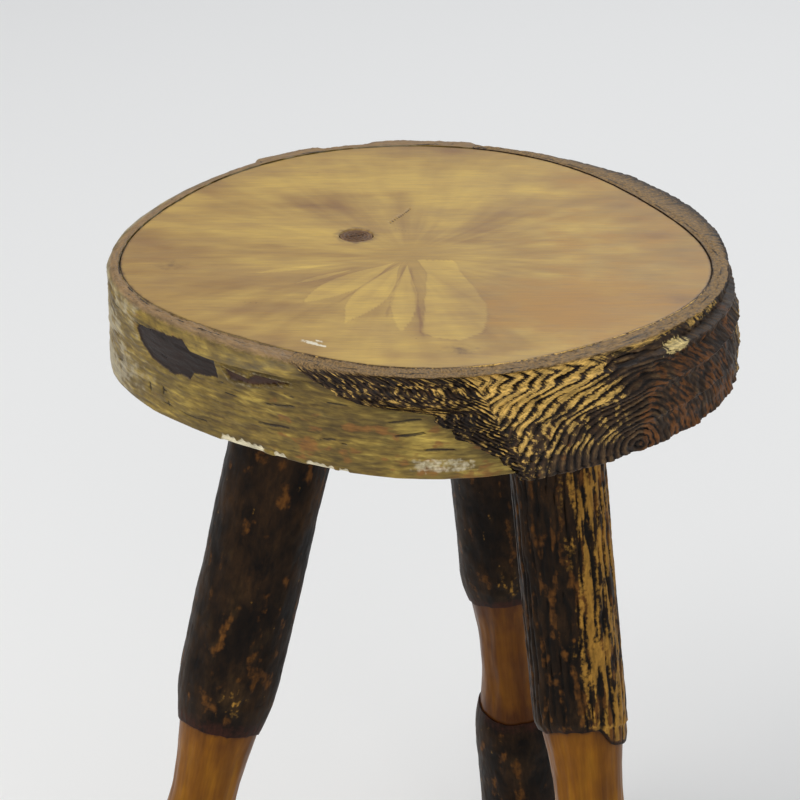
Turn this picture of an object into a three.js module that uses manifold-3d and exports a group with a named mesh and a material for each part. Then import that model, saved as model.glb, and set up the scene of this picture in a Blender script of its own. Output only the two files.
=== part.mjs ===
// Rustic three-legged stool: a slice of log with its bark on, standing on three round
// poles whose bark is left on above and below a carved waist.
// Millimetres, +Z up. The origin is on the floor, under the middle of the stool's box.

import * as THREE from 'three';
import { mergeVertices } from 'three/addons/utils/BufferGeometryUtils.js';
import Module from 'manifold-3d';

const wasm = await Module();
wasm.setup();

// ---------------------------------------------------------------- driving dimensions

const SEAT_HEIGHT = 430;        // floor to the sitting face
const SEAT_THICKNESS = 50;
const TRUNK_RADIUS = 149;       // mean radius of the log over its bark
const SMOOTH_BARK = 9;          // thickness of the smooth bark
const ROUGH_BARK = 13;          // thickness of the rough bark
const THICKEST_BARK = 332;      // azimuth where the bark is thickest, degrees
const BURR_SWELL = 9;           // how far the rough bark stands out around the burr
const BURR_TOWARD = 302;        // azimuth of the burr's middle, degrees
const BURR_SPREAD = 75;         // degrees to each side over which the burr dies away
const BURR_RISE = 0.6;          // share of the thickness, from the top, where it is fullest

// Broad lobes that make the log's outline: waves round the log, height, azimuth of a crest.
const LOBES = [
  { waves: 1, height: 2, toward: 300 },
  { waves: 2, height: 3, toward: 115 },
  { waves: 3, height: 3.5, toward: 85 },
  { waves: 4, height: 2.5, toward: 90 },
  { waves: 5, height: 2, toward: 55 },
];

// The two seams where rough bark meets smooth: azimuth at the top face and at the underside.
const FRONT_SEAM = { top: 250, bottom: 288 };
const BACK_SEAM = { top: 78, bottom: 62 };
const SEAM_BEND = 0.8;          // power that bows a seam as it comes down
const SEAM_GAP = 1;             // width of a seam, measured level round the rim

const KNOT = { x: -30, y: 17, radius: 8.5, tipRadius: 5, depth: 18 };

const TENON_RADIUS = 16;
const LEAST_SHOULDER = 1;       // a pole's wood is at least this much wider than its tenon
const SOCKET_COVER = 14;        // wood left over a blind socket
const SOCKET_END_GAP = 1;       // space past the tenon's end
const WEDGE = { head: 4, tip: 1.4, length: 22 };  // fox wedge, driven home in the tenon
const WEDGE_INSET = 0.5;        // wedge edge inside the tenon's round face
const KERF_END_GAP = 0.5;       // space past the wedge's tip

const LEG_BARK = 2.5;
const WAIST_RADIUS = 17;
const WAIST_BLEND = 26;         // length over which the carving runs down to the waist
const BARK_BEVEL = 10;          // length of the bevel cut on a bark sleeve's waist end
const BARK_LIP = 0.8;           // bark left at the thin end of that bevel
const FOOT_PEEL = 10;           // bare wood at the foot
const FOOT_WEAR = 2;            // how much the foot is rounded in at the floor

// Each pole: middle of the hip on the seat's underside, middle of the foot on the floor,
// radius over the bark, and the heights at which its waist begins and ends.
const LEGS = [
  { name: 'left_leg', hip: [-58, -30], foot: [-142, -55], radius: 25.5, waist: [112, 186] },
  { name: 'right_leg', hip: [63.5, -65], foot: [103, -110], radius: 23.2, waist: [134, 209] },
  { name: 'back_leg', hip: [32.3, 70], foot: [67, 130], radius: 24, waist: [108, 181] },
];

const FIT = 0.3;                // clearance wherever two pieces touch

const OUTLINE_STEPS = 96;
const SECTOR_STEPS = 24;
const SECTOR_SPARE = 1;         // how far a cutting sector runs past both faces
const TURNED_SIDES = 28;
const BLEND_STEPS = 4;
const DEPTH_SHARES = [0, 0.15, 0.4, 0.7, 1];       // levels in the seat, from the top
const SEAM_SHARES = [0, 0.05, 0.15, 0.3, 0.5, 0.75, 1];

// ---------------------------------------------------------------- materials

const paint = (color, roughness) =>
  new THREE.MeshStandardMaterial({ color, roughness, metalness: 0 });

const FINISH = {
  seatWood: paint(0xb8924f, 0.45),
  smoothBark: paint(0x9a8340, 0.65),
  roughBark: paint(0x4a3420, 0.8),
  knot: paint(0x4a3320, 0.5),
  legWood: paint(0xb0702a, 0.4),
  legBark: paint(0x35261a, 0.6),
  wedge: paint(0xc9a468, 0.6),
};

// ---------------------------------------------------------------- solids

const UNDERSIDE = SEAT_HEIGHT - SEAT_THICKNESS;
const radians = THREE.MathUtils.degToRad;
const mix = THREE.MathUtils.lerp;

// A closed geometry as a manifold solid, its shared vertices merged.
function toSolid(geometry) {
  const bare = geometry.clone();
  bare.deleteAttribute('normal');
  bare.deleteAttribute('uv');
  const merged = mergeVertices(bare, 1e-4);
  return new wasm.Manifold(new wasm.Mesh({
    numProp: 3,
    vertProperties: new Float32Array(merged.attributes.position.array),
    triVerts: new Uint32Array(merged.index.array),
  }));
}

function toGeometry(solid) {
  const mesh = solid.getMesh();
  const geometry = new THREE.BufferGeometry();
  geometry.setAttribute('position', new THREE.BufferAttribute(mesh.vertProperties, 3));
  geometry.setIndex(new THREE.BufferAttribute(mesh.triVerts, 1));
  return geometry;
}

// A turned piece: points are [radius, height], and the turning axis becomes +Z.
function turned(points) {
  const profile = points.map(([radius, height]) => new THREE.Vector2(radius, height));
  return new THREE.LatheGeometry(profile, TURNED_SIDES).rotateX(Math.PI / 2);
}

// A rod between two heights, with a radius at each.
function rod(lowRadius, highRadius, low, high) {
  return turned([[0, low], [lowRadius, low], [highRadius, high], [0, high]]);
}

// Rings of points joined into a closed body, each ring to the next. The first and last
// rings are closed by pairing their points across. Seen from the last ring, the points run
// counter-clockwise.
function skinned(rings) {
  const count = rings[0].length;
  const index = [];
  const quad = (a, b, c, d) => index.push(a, b, c, a, c, d);
  for (let i = 0; i + 1 < rings.length; i++) {
    for (let j = 0; j < count; j++) {
      const next = (j + 1) % count;
      quad(i * count + j, i * count + next, (i + 1) * count + next, (i + 1) * count + j);
    }
  }
  const last = (rings.length - 1) * count;
  for (let j = 0; j + 1 < count / 2; j++) {
    const across = count - 1 - j;
    quad(j, across, across - 1, j + 1);
    quad(last + j, last + j + 1, last + across - 1, last + across);
  }
  const geometry = new THREE.BufferGeometry();
  geometry.setAttribute('position', new THREE.Float32BufferAttribute(rings.flat(2), 3));
  geometry.setIndex(index);
  return geometry;
}

// ---------------------------------------------------------------- the seat's outline

function trunkRadius(azimuth) {
  let radius = TRUNK_RADIUS;
  for (const lobe of LOBES) {
    radius += lobe.height * Math.cos(lobe.waves * (azimuth - radians(lobe.toward)));
  }
  return radius;
}

// The bark thickens smoothly from the smooth side to the rough side.
function woodRadius(azimuth) {
  const roughShare = 0.5 + 0.5 * Math.cos(azimuth - radians(THICKEST_BARK));
  return trunkRadius(azimuth) - mix(SMOOTH_BARK, ROUGH_BARK, roughShare);
}

// The rough bark stands out around the burr, most of all low down.
function burrRadius(azimuth, depthShare) {
  const away = Math.abs(THREE.MathUtils.euclideanModulo(
    azimuth - radians(BURR_TOWARD) + Math.PI, 2 * Math.PI) - Math.PI);
  const aside = Math.cos(Math.PI / 2 * Math.min(1, away / radians(BURR_SPREAD))) ** 2;
  const down = Math.sin(Math.PI / 2 * Math.min(1, depthShare / BURR_RISE));
  return trunkRadius(azimuth) + BURR_SWELL * aside * down;
}

const onceRound = (seam) => ({ top: seam.top + 360, bottom: seam.bottom + 360 });

function seamAzimuth(seam, depthShare) {
  return radians(mix(seam.top, seam.bottom, depthShare ** SEAM_BEND));
}

// A slice of log: radiusAt gives its radius for an azimuth and a share of the thickness.
function logSlice(radiusAt) {
  const rings = DEPTH_SHARES.map((depthShare) => {
    const z = SEAT_HEIGHT - depthShare * SEAT_THICKNESS;
    return Array.from({ length: OUTLINE_STEPS }, (_, i) => {
      const azimuth = 2 * Math.PI * i / OUTLINE_STEPS;
      const radius = radiusAt(azimuth, depthShare);
      return [radius * Math.cos(azimuth), radius * Math.sin(azimuth), z];
    });
  });
  return skinned(rings.reverse());
}

// The part of a slice between two seams, a little short of each so that shells don't touch.
function seamSector(fromSeam, toSeam) {
  const edge = SEAM_GAP / 2 / TRUNK_RADIUS;
  const rings = Array.from({ length: SECTOR_STEPS + 1 }, (_, i) => {
    const wall = (radius, shares) => shares.map((depthShare) => {
      const from = seamAzimuth(fromSeam, depthShare) + edge;
      const to = seamAzimuth(toSeam, depthShare) - edge;
      const azimuth = mix(from, to, i / SECTOR_STEPS);
      const z = SEAT_HEIGHT + SECTOR_SPARE - depthShare * (SEAT_THICKNESS + 2 * SECTOR_SPARE);
      return [radius * Math.cos(azimuth), radius * Math.sin(azimuth), z];
    });
    const outside = wall(TRUNK_RADIUS * 1.5, SEAM_SHARES);      // well past the bark
    const inside = wall(TRUNK_RADIUS * 0.5, SEAM_SHARES.slice().reverse());
    return [...outside, ...inside];
  });
  return skinned(rings);
}

function barkShell(radiusAt, fromSeam, toSeam) {
  return toSolid(logSlice(radiusAt))
    .subtract(toSolid(logSlice(woodRadius)))
    .intersect(toSolid(seamSector(fromSeam, toSeam)));
}

// A dead branch stub, widest at the sitting face. grow makes the pocket it sits in.
function knotPlug(grow) {
  const foot = SEAT_HEIGHT - KNOT.depth - grow;
  return rod(KNOT.tipRadius + grow, KNOT.radius + grow, foot, SEAT_HEIGHT + grow)
    .translate(KNOT.x, KNOT.y, 0);
}

// ---------------------------------------------------------------- the legs

// Everything along one leg is measured from the foot's middle, up the leg's own axis.
function legLine(leg) {
  const foot = new THREE.Vector3(...leg.foot, 0);
  const rise = new THREE.Vector3(...leg.hip, UNDERSIDE).sub(foot);
  const length = rise.length();
  const turn = new THREE.Quaternion().setFromUnitVectors(
    new THREE.Vector3(0, 0, 1), rise.clone().normalize());
  const matrix = new THREE.Matrix4().compose(foot, turn, new THREE.Vector3(1, 1, 1));
  const stretch = length / UNDERSIDE;       // length along the leg for one unit of height
  const radius = Math.max(leg.radius, TENON_RADIUS + LEAST_SHOULDER + FIT + LEG_BARK);
  return {
    matrix,
    length,
    radius,
    waistLow: leg.waist[0] * stretch,
    waistHigh: leg.waist[1] * stretch,
    tenonEnd: length + (SEAT_THICKNESS - SOCKET_COVER) * stretch,
    coreRadius: radius - LEG_BARK - FIT,
    spare: 2 * radius,                      // run past the floor and seat, cut off after
  };
}

// The carved waist between its two ends, as [radius, distance along the leg].
function waistProfile(line) {
  const fullRadius = line.coreRadius;
  const blend = Math.min(WAIST_BLEND, (line.waistHigh - line.waistLow) / 2);
  const points = [];
  for (let i = 0; i <= BLEND_STEPS; i++) {
    const share = i / BLEND_STEPS;
    const ease = 0.5 - 0.5 * Math.cos(Math.PI * share);
    const radius = mix(fullRadius, Math.min(WAIST_RADIUS, fullRadius), ease);
    points.push([radius, blend * share]);
  }
  const lower = points.map(([radius, run]) => [radius, line.waistLow + run]);
  const upper = points.map(([radius, run]) => [radius, line.waistHigh - run]).reverse();
  return [...lower, ...upper];
}

// Between the floor and the seat's underside, in a box much wider than the stool.
function standingRoom() {
  const wide = 8 * TRUNK_RADIUS;
  const tall = UNDERSIDE - FIT;
  return toSolid(new THREE.BoxGeometry(wide, wide, tall).translate(0, 0, tall / 2));
}

function trimmed(geometry, line) {
  return toSolid(geometry.applyMatrix4(line.matrix)).intersect(standingRoom());
}

// The fox wedge, or the kerf it is driven into, which is wider by grow and longer by past.
function wedgeShape(line, grow, past) {
  const { head, tip, length } = WEDGE;
  const top = line.tenonEnd;
  const shape = new THREE.Shape([
    new THREE.Vector2(-tip / 2 - grow, top - length - past),
    new THREE.Vector2(tip / 2 + grow, top - length - past),
    new THREE.Vector2(head / 2 + grow, top + past),
    new THREE.Vector2(-head / 2 - grow, top + past),
  ]);
  const width = 2 * (TENON_RADIUS - WEDGE_INSET) + (grow > 0 ? 2 * TENON_RADIUS : 0);
  return new THREE.ExtrudeGeometry(shape, { depth: width, bevelEnabled: false })
    .translate(0, 0, -width / 2)
    .rotateX(Math.PI / 2)
    .applyMatrix4(line.matrix);
}

function legCore(line) {
  const { coreRadius, length, spare, tenonEnd } = line;
  const pole = turned([
    [0, -spare],
    [coreRadius - FOOT_WEAR, -spare],
    [coreRadius - FOOT_WEAR, 0],
    [coreRadius, FOOT_PEEL],
    ...waistProfile(line),
    [coreRadius, length + spare],
    [0, length + spare],
  ]);
  const tenon = rod(TENON_RADIUS, TENON_RADIUS, length - spare, tenonEnd)
    .applyMatrix4(line.matrix);
  return trimmed(pole, line)
    .add(toSolid(tenon).subtract(standingRoom()))
    .subtract(toSolid(wedgeShape(line, FIT, KERF_END_GAP)));
}

// A sleeve of bark with a bevel at its waist end. toward is +1 where that end is the top.
function barkSleeve(line, waistEnd, farEnd) {
  const inner = line.radius - LEG_BARK;
  const toward = Math.sign(waistEnd - farEnd);
  const bevelStart = waistEnd - toward * BARK_BEVEL;
  const profile = [
    [inner, farEnd],
    [line.radius, farEnd],
    [line.radius, bevelStart],
    [inner + BARK_LIP, waistEnd],
    [inner, waistEnd],
    [inner, farEnd],
  ];
  if (toward < 0) profile.reverse();
  return trimmed(turned(profile), line);
}

function legSocket(line) {
  const radius = TENON_RADIUS + FIT;
  return toSolid(rod(radius, radius, line.length - line.spare, line.tenonEnd + SOCKET_END_GAP)
    .applyMatrix4(line.matrix));
}

// ---------------------------------------------------------------- assembly

const stool = new THREE.Group();

function addPiece(name, geometry, material) {
  const piece = new THREE.Mesh(geometry, material);
  piece.name = name;
  stool.add(piece);
}

const seatBlank = logSlice((azimuth) => woodRadius(azimuth) - FIT);
let seatWood = toSolid(seatBlank).subtract(toSolid(knotPlug(FIT)));
for (const leg of LEGS) {
  const line = legLine(leg);
  seatWood = seatWood.subtract(legSocket(line));
  addPiece(`${leg.name}_core`, toGeometry(legCore(line)), FINISH.legWood);
  const upper = barkSleeve(line, line.waistHigh, line.length + line.spare);
  addPiece(`${leg.name}_upper_bark`, toGeometry(upper), FINISH.legBark);
  const lower = barkSleeve(line, line.waistLow, FOOT_PEEL);
  addPiece(`${leg.name}_lower_bark`, toGeometry(lower), FINISH.legBark);
  addPiece(`${leg.name}_wedge`, wedgeShape(line, 0, 0), FINISH.wedge);
}
addPiece('seat_wood', toGeometry(seatWood), FINISH.seatWood);
addPiece('seat_knot', knotPlug(0), FINISH.knot);

const smoothBark = barkShell(trunkRadius, BACK_SEAM, FRONT_SEAM);
const roughBark = barkShell(burrRadius, FRONT_SEAM, onceRound(BACK_SEAM));
addPiece('seat_bark_smooth', toGeometry(smoothBark), FINISH.smoothBark);
addPiece('seat_bark_rough', toGeometry(roughBark), FINISH.roughBark);

// The stool's box is centred over the origin.
const middle = new THREE.Box3().setFromObject(stool, true).getCenter(new THREE.Vector3());
stool.position.set(-middle.x, -middle.y, 0);

export default stool;
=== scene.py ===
"""A rustic three-legged stool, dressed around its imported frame.

A slice of log with its bark on sits on three round poles whose own bark is left on above
and below a carved waist. Metres, +Z up, in the frame's own axes.
"""

import logging
import math
from dataclasses import dataclass, field
from enum import Enum

import bmesh
import bpy
import numpy as np
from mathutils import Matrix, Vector


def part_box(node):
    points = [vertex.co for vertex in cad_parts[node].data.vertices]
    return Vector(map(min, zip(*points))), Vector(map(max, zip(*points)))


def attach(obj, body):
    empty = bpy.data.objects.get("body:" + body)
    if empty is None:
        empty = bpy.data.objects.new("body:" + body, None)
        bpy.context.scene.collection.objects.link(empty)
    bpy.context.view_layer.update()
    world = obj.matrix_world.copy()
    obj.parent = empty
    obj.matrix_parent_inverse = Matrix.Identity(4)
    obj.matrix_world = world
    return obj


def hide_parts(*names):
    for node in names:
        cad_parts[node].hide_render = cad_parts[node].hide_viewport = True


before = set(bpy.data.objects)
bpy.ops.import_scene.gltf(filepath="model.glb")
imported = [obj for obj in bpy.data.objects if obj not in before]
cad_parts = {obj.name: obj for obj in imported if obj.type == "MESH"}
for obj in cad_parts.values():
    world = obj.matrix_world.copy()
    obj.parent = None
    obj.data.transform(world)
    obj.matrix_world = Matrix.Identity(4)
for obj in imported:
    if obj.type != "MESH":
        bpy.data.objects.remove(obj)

Array = np.ndarray
Color = tuple[float, float, float]
LOG = logging.getLogger("stool")
MM = 0.001
SHARP_EDGE = 50                         # degrees between faces from which an edge is kept sharp
KNOT_FROM_AXIS = (-30.0, 17.0)          # the knot's place, in millimetres from the log's axis


# ------------------------------------------------------------------ numbers over a surface


def ease(values: Array, low: float | Array, high: float | Array) -> Array:
    """Rises smoothly from 0 at low to 1 at high.

    Args:
        values: numbers to shape.
        low: where the rise begins.
        high: where it ends; below low, the curve falls instead.

    Returns:
        Numbers from 0 to 1.
    """
    share = np.clip((values - low) / (high - low), 0.0, 1.0)
    return share * share * (3 - 2 * share)


def hump(values: Array, middle: float | Array, spread: float | Array) -> Array:
    """A bell of height 1 around middle."""
    return np.exp(-(((values - middle) / spread) ** 2))


def band(values: Array, low: float, high: float, soft: float) -> Array:
    """1 between low and high, fading to 0 over soft on each side."""
    return ease(values, low - soft, low) * (1 - ease(values, high, high + soft))


class Noise:
    """Seeded gradient noise over three coordinates, the same on every run."""

    GAIN = 1.7                          # makes one octave's values span about -1 to 1
    LAYERED_HEIGHT = 1.4                # what several octaves are divided by to span the same
    OCTAVE_SHIFT = 7                    # keeps the octaves' lumps from lining up

    def __init__(self, seed: int) -> None:
        """Draws the hash table and the gradients.

        Args:
            seed: picks the pattern.
        """
        draw = np.random.default_rng(seed)
        self._table = draw.permutation(256)
        gradients = draw.normal(size=(256, 3))
        self._gradients = gradients / np.linalg.norm(gradients, axis=1)[:, None]

    def at(self, x: Array, y: Array, z: Array | float = 0.0) -> Array:
        """One octave.

        Args:
            x, y, z: places, in units of one lump.

        Returns:
            Numbers mostly from -1 to 1.
        """
        x, y, z = np.broadcast_arrays(x, y, z)
        cells = [np.floor(c).astype(int) for c in (x, y, z)]
        inside = [c - cell for c, cell in zip((x, y, z), cells)]
        fades = [t * t * t * (t * (t * 6 - 15) + 10) for t in inside]
        total = np.zeros(x.shape)
        for corner in range(8):
            step = (corner & 1, corner >> 1 & 1, corner >> 2 & 1)
            key = np.zeros(x.shape, int)
            weight = np.ones(x.shape)
            for cell, up, fade in zip(cells, step, fades):
                key = self._table[(key + cell + up) & 255]
                weight = weight * (fade if up else 1 - fade)
            slope = self._gradients[key]
            dot = sum(slope[..., a] * (inside[a] - step[a]) for a in range(3))
            total += weight * dot
        return total * self.GAIN

    def layered(self, x: Array, y: Array, z: Array | float = 0.0, octaves: int = 3) -> Array:
        """Octaves of noise, each half as high and twice as fine as the one before.

        Args:
            x, y, z: places, in units of the broadest lump.
            octaves: how many are added.

        Returns:
            Numbers mostly from -1 to 1.
        """
        shift = self.OCTAVE_SHIFT
        total = sum(self.at(x * 2**o + shift * o, y * 2**o, z * 2**o) / 2**o for o in range(octaves))
        return total / self.LAYERED_HEIGHT


@dataclass(frozen=True)
class Stroke:
    """A straight mark on a surface, from one place to another, in millimetres."""

    start: tuple[float, float]
    end: tuple[float, float]
    width: float = 0.45

    def mask(self, across: Array, down: Array) -> Array:
        """How much of the mark lies at each place.

        Args:
            across: first coordinate of each place.
            down: second coordinate.

        Returns:
            1 on the mark's line, fading out over its width.
        """
        run = np.subtract(self.end, self.start)
        share = ((across - self.start[0]) * run[0] + (down - self.start[1]) * run[1]) / (run @ run)
        share = np.clip(share, 0, 1)
        gap = np.hypot(across - self.start[0] - share * run[0], down - self.start[1] - share * run[1])
        taper = self.width * (0.35 + 0.65 * np.sqrt(np.clip(4 * share * (1 - share), 0, 1)))
        return hump(gap, 0, taper)


@dataclass(frozen=True)
class Patch:
    """An area with a closed outline, in millimetres."""

    outline: tuple[tuple[float, float], ...]

    def depth_inside(self, across: Array, down: Array) -> Array:
        """Distance to the outline.

        Args:
            across: first coordinate of each place.
            down: second coordinate.

        Returns:
            Millimetres inside the outline, negative outside it.
        """
        nearest = np.full(across.shape, np.inf)
        inside = np.zeros(across.shape, bool)
        previous = self.outline[-1]
        for corner in self.outline:
            run = np.subtract(corner, previous)
            share = (across - previous[0]) * run[0] + (down - previous[1]) * run[1]
            share = np.clip(share / (run @ run), 0, 1)
            gap = np.hypot(across - previous[0] - share * run[0], down - previous[1] - share * run[1])
            nearest = np.minimum(nearest, gap)
            if run[1]:
                crosses = (previous[1] > down) != (corner[1] > down)
                where = previous[0] + (down - previous[1]) / run[1] * run[0]
                inside ^= crosses & (across < where)
            previous = corner
        return np.where(inside, nearest, -nearest)

    def mask(self, across: Array, down: Array, soft: float) -> Array:
        """1 inside the outline, 0 outside, fading over soft on each side of it."""
        return ease(self.depth_inside(across, down), -soft, soft)


# ------------------------------------------------------------------ meshes


@dataclass
class Skin:
    """A closed mesh laid over a grid of points, which wraps round in its second direction."""

    name: str
    points: Array                       # (rings, around, 3)
    bake_rows: int = 2                  # strips the surface is cut into on its bake map
    chains: tuple[Array, Array] | None = None    # heights at which cap points are zipped
    closed: bool = False                # whether the last ring joins the first

    def build(self) -> bpy.types.Object:
        """Makes the mesh object.

        Returns:
            The object, linked to the scene, with its bake map.
        """
        rings, around, _ = self.points.shape
        index = np.arange(rings * around).reshape(rings, around)
        if self.closed:
            index = np.concatenate([index, index[:1]])
        beside = np.roll(index, -1, axis=1)
        quads = np.stack([index[:-1], beside[:-1], beside[1:], index[1:]], -1).reshape(-1, 4)
        caps = [] if self.closed else self._cap(index[0], False) + self._cap(index[-1], True)
        faces = quads.tolist() + caps
        mesh = bpy.data.meshes.new(self.name)
        mesh.from_pydata(self.points.reshape(-1, 3).tolist(), [], faces, shade_flat=False)
        self._bake_map(mesh, len(index), around, len(quads))
        piece = bpy.data.objects.new(self.name, mesh)
        bpy.context.scene.collection.objects.link(piece)
        face_outward(mesh)
        mesh.set_sharp_from_angle(angle=math.radians(SHARP_EDGE))
        return piece

    def _cap(self, ring: Array, last: bool) -> list[list[int]]:
        """Closes one end of the grid.

        Args:
            ring: vertex numbers of the end ring.
            last: whether it is the last ring, which faces the other way.

        Returns:
            The end's faces.
        """
        if self.chains is None:
            return [ring.tolist() if last else ring[::-1].tolist()]
        first, second = self.chains
        left, right = ring[: len(first)], ring[::-1][: len(second)]
        a = b = 0
        faces = []
        while a + 1 < len(left) or b + 1 < len(right):
            go_left = b + 1 == len(right) or (a + 1 < len(left) and first[a + 1] <= second[b + 1])
            third = left[a + 1] if go_left else right[b + 1]
            face = [int(left[a]), int(third), int(right[b])]
            if len(set(face)) == 3:
                faces.append(face if last else face[::-1])
            a, b = (a + 1, b) if go_left else (a, b + 1)
        return faces

    def _bake_map(self, mesh: bpy.types.Mesh, rings: int, around: int, quads: int) -> None:
        """Lays the surface out flat in strips, one under another.

        Args:
            mesh: the mesh that takes the map.
            rings: points along the grid.
            around: points round each ring.
            quads: number of faces that come from the grid.
        """
        per_row = math.ceil((rings - 1) / self.bake_rows)
        ring, step = np.divmod(np.arange(quads), around)
        row = ring // per_row
        margin, width = 0.02, 0.94
        u = (ring - row * per_row)[:, None] + np.array([0, 0, 1, 1])
        v = step[:, None] + np.array([0, 1, 1, 0])
        u = margin / 2 + width * u / per_row
        v = (row[:, None] + margin + (1 - 2 * margin) * v / around) / self.bake_rows
        grid = np.stack([u, v], -1).reshape(-1, 2)
        loops = len(mesh.loops)
        spread = np.linspace(0, 1, loops - len(grid))
        caps = np.stack([0.97 + 0.02 * spread, 0.02 + 0.9 * (spread * 37 % 1)], -1)
        layer = mesh.uv_layers.new(name="OFBake")
        layer.uv.foreach_set("vector", np.concatenate([grid, caps]).astype(np.float32).ravel())


def face_outward(mesh: bpy.types.Mesh) -> None:
    """Turns every face over if the closed mesh is inside out.

    Args:
        mesh: a closed mesh.
    """
    corners = vertices_of(mesh)
    mesh.calc_loop_triangles()
    triangles = np.array([t.vertices[:] for t in mesh.loop_triangles])
    a, b, c = (corners[triangles[:, k]] for k in range(3))
    if np.einsum("ij,ij->i", a, np.cross(b, c)).sum() < 0:
        mesh.flip_normals()


def vertices_of(mesh: bpy.types.Mesh) -> Array:
    """The mesh's vertices.

    Args:
        mesh: any mesh.

    Returns:
        Their places, as an (n, 3) array.
    """
    flat = np.zeros(len(mesh.vertices) * 3, np.float32)
    mesh.vertices.foreach_get("co", flat)
    return flat.reshape(-1, 3).astype(float)


def store(piece: bpy.types.Object, masks: dict[str, Array], place: Array) -> None:
    """Writes a value for each vertex that the finish reads.

    Args:
        piece: the mesh object.
        masks: numbers from 0 to 1 by name.
        place: each vertex's place in the piece's own unrolled coordinates, in metres.
    """
    for name, values in masks.items():
        layer = piece.data.attributes.new(name, "FLOAT", "POINT")
        layer.data.foreach_set("value", np.clip(values, 0, 1).astype(np.float32).ravel())
    layer = piece.data.attributes.new("place", "FLOAT_VECTOR", "POINT")
    layer.data.foreach_set("vector", place.astype(np.float32).ravel())


def cut_away(piece: bpy.types.Object, cutters: list[bpy.types.Object]) -> None:
    """Subtracts solids from a piece and deletes them.

    Args:
        piece: the closed mesh that is cut.
        cutters: closed meshes taken away from it.
    """
    for cutter in cutters:
        tool = piece.modifiers.new("cut", "BOOLEAN")
        tool.operation = "DIFFERENCE"
        tool.solver = "MANIFOLD"
        tool.object = cutter
    graph = bpy.context.evaluated_depsgraph_get()
    finished = bpy.data.meshes.new_from_object(piece.evaluated_get(graph))
    piece.modifiers.clear()
    piece.data = finished
    for cutter in cutters:
        bpy.data.objects.remove(cutter)


# ------------------------------------------------------------------ finishes


class Grain(Enum):
    """Where a finish takes its coordinates from."""

    UNROLLED = "place"
    OBJECT = "object"


@dataclass(frozen=True)
class Layer:
    """A second colour that lies over a finish where one of the piece's masks is high."""

    mask: str
    color: Color
    breakup: float = 0.35       # how far fine noise eats into the mask
    scale: float = 700.0


def new_group(name: str, inputs: dict[str, str], outputs: dict[str, str]) -> bpy.types.NodeTree:
    """Makes an empty shader node group.

    Args:
        name: the group's name.
        inputs: socket types by name.
        outputs: socket types by name.

    Returns:
        The group, with its input and output nodes in place.
    """
    tree = bpy.data.node_groups.new(name, "ShaderNodeTree")
    for names, way in ((inputs, "INPUT"), (outputs, "OUTPUT")):
        for socket, kind in names.items():
            tree.interface.new_socket(name=socket, in_out=way, socket_type=kind)
    tree.nodes.new("NodeGroupInput").name = "In"
    tree.nodes.new("NodeGroupOutput").name = "Out"
    return tree


class Wiring:
    """Short calls that add nodes to a tree and join them."""

    def __init__(self, tree: bpy.types.NodeTree) -> None:
        """Keeps the tree that the nodes go in."""
        self.tree = tree

    def add(self, kind: str, inputs: dict | None = None, **settings: object) -> bpy.types.Node:
        """Adds a node.

        Args:
            kind: the node's type.
            inputs: values or output sockets, by input name or number.
            settings: the node's own properties.

        Returns:
            The node.
        """
        node = self.tree.nodes.new(kind)
        for key, value in settings.items():
            setattr(node, key, value)
        for key, value in (inputs or {}).items():
            if isinstance(value, bpy.types.NodeSocket):
                self.tree.links.new(value, node.inputs[key])
            else:
                node.inputs[key].default_value = value
        return node

    def math(self, operation: str, first: object, second: object = 0.0) -> bpy.types.NodeSocket:
        """The result of one step of arithmetic on values or sockets."""
        return self.add("ShaderNodeMath", {0: first, 1: second}, operation=operation).outputs[0]

    def blend(self, share: object, first: object, second: object, how: str = "MIX") -> bpy.types.NodeSocket:
        """Mixes two colours.

        Args:
            share: how much of the second.
            first: colour or socket.
            second: colour or socket.
            how: blend type.

        Returns:
            The mixed colour.
        """
        node = self.add("ShaderNodeMix", data_type="RGBA", blend_type=how, clamp_result=True)
        for number, value in ((0, share), (6, first), (7, second)):
            if isinstance(value, bpy.types.NodeSocket):
                self.tree.links.new(value, node.inputs[number])
            else:
                node.inputs[number].default_value = value if number == 0 else (*value, 1)
        return node.outputs[2]


def make_grain_group() -> bpy.types.NodeTree:
    """Streaks drawn out along one direction.

    Returns:
        Group with Vector, Stretch and Scale in, and Value out, from 0 to 1 about 0.5.
    """
    tree = new_group(
        "grain",
        {"Vector": "NodeSocketVector", "Stretch": "NodeSocketVector", "Scale": "NodeSocketFloat"},
        {"Value": "NodeSocketFloat"},
    )
    wire = Wiring(tree)
    given = tree.nodes["In"].outputs
    drawn = wire.add("ShaderNodeVectorMath", {0: given["Vector"], 1: given["Stretch"]}, operation="MULTIPLY")
    noise = wire.add(
        "ShaderNodeTexNoise",
        {"Vector": drawn.outputs[0], "Scale": given["Scale"], "Detail": 4.0, "Roughness": 0.62},
    )
    tree.links.new(noise.outputs["Fac"], tree.nodes["Out"].inputs["Value"])
    return tree


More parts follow.
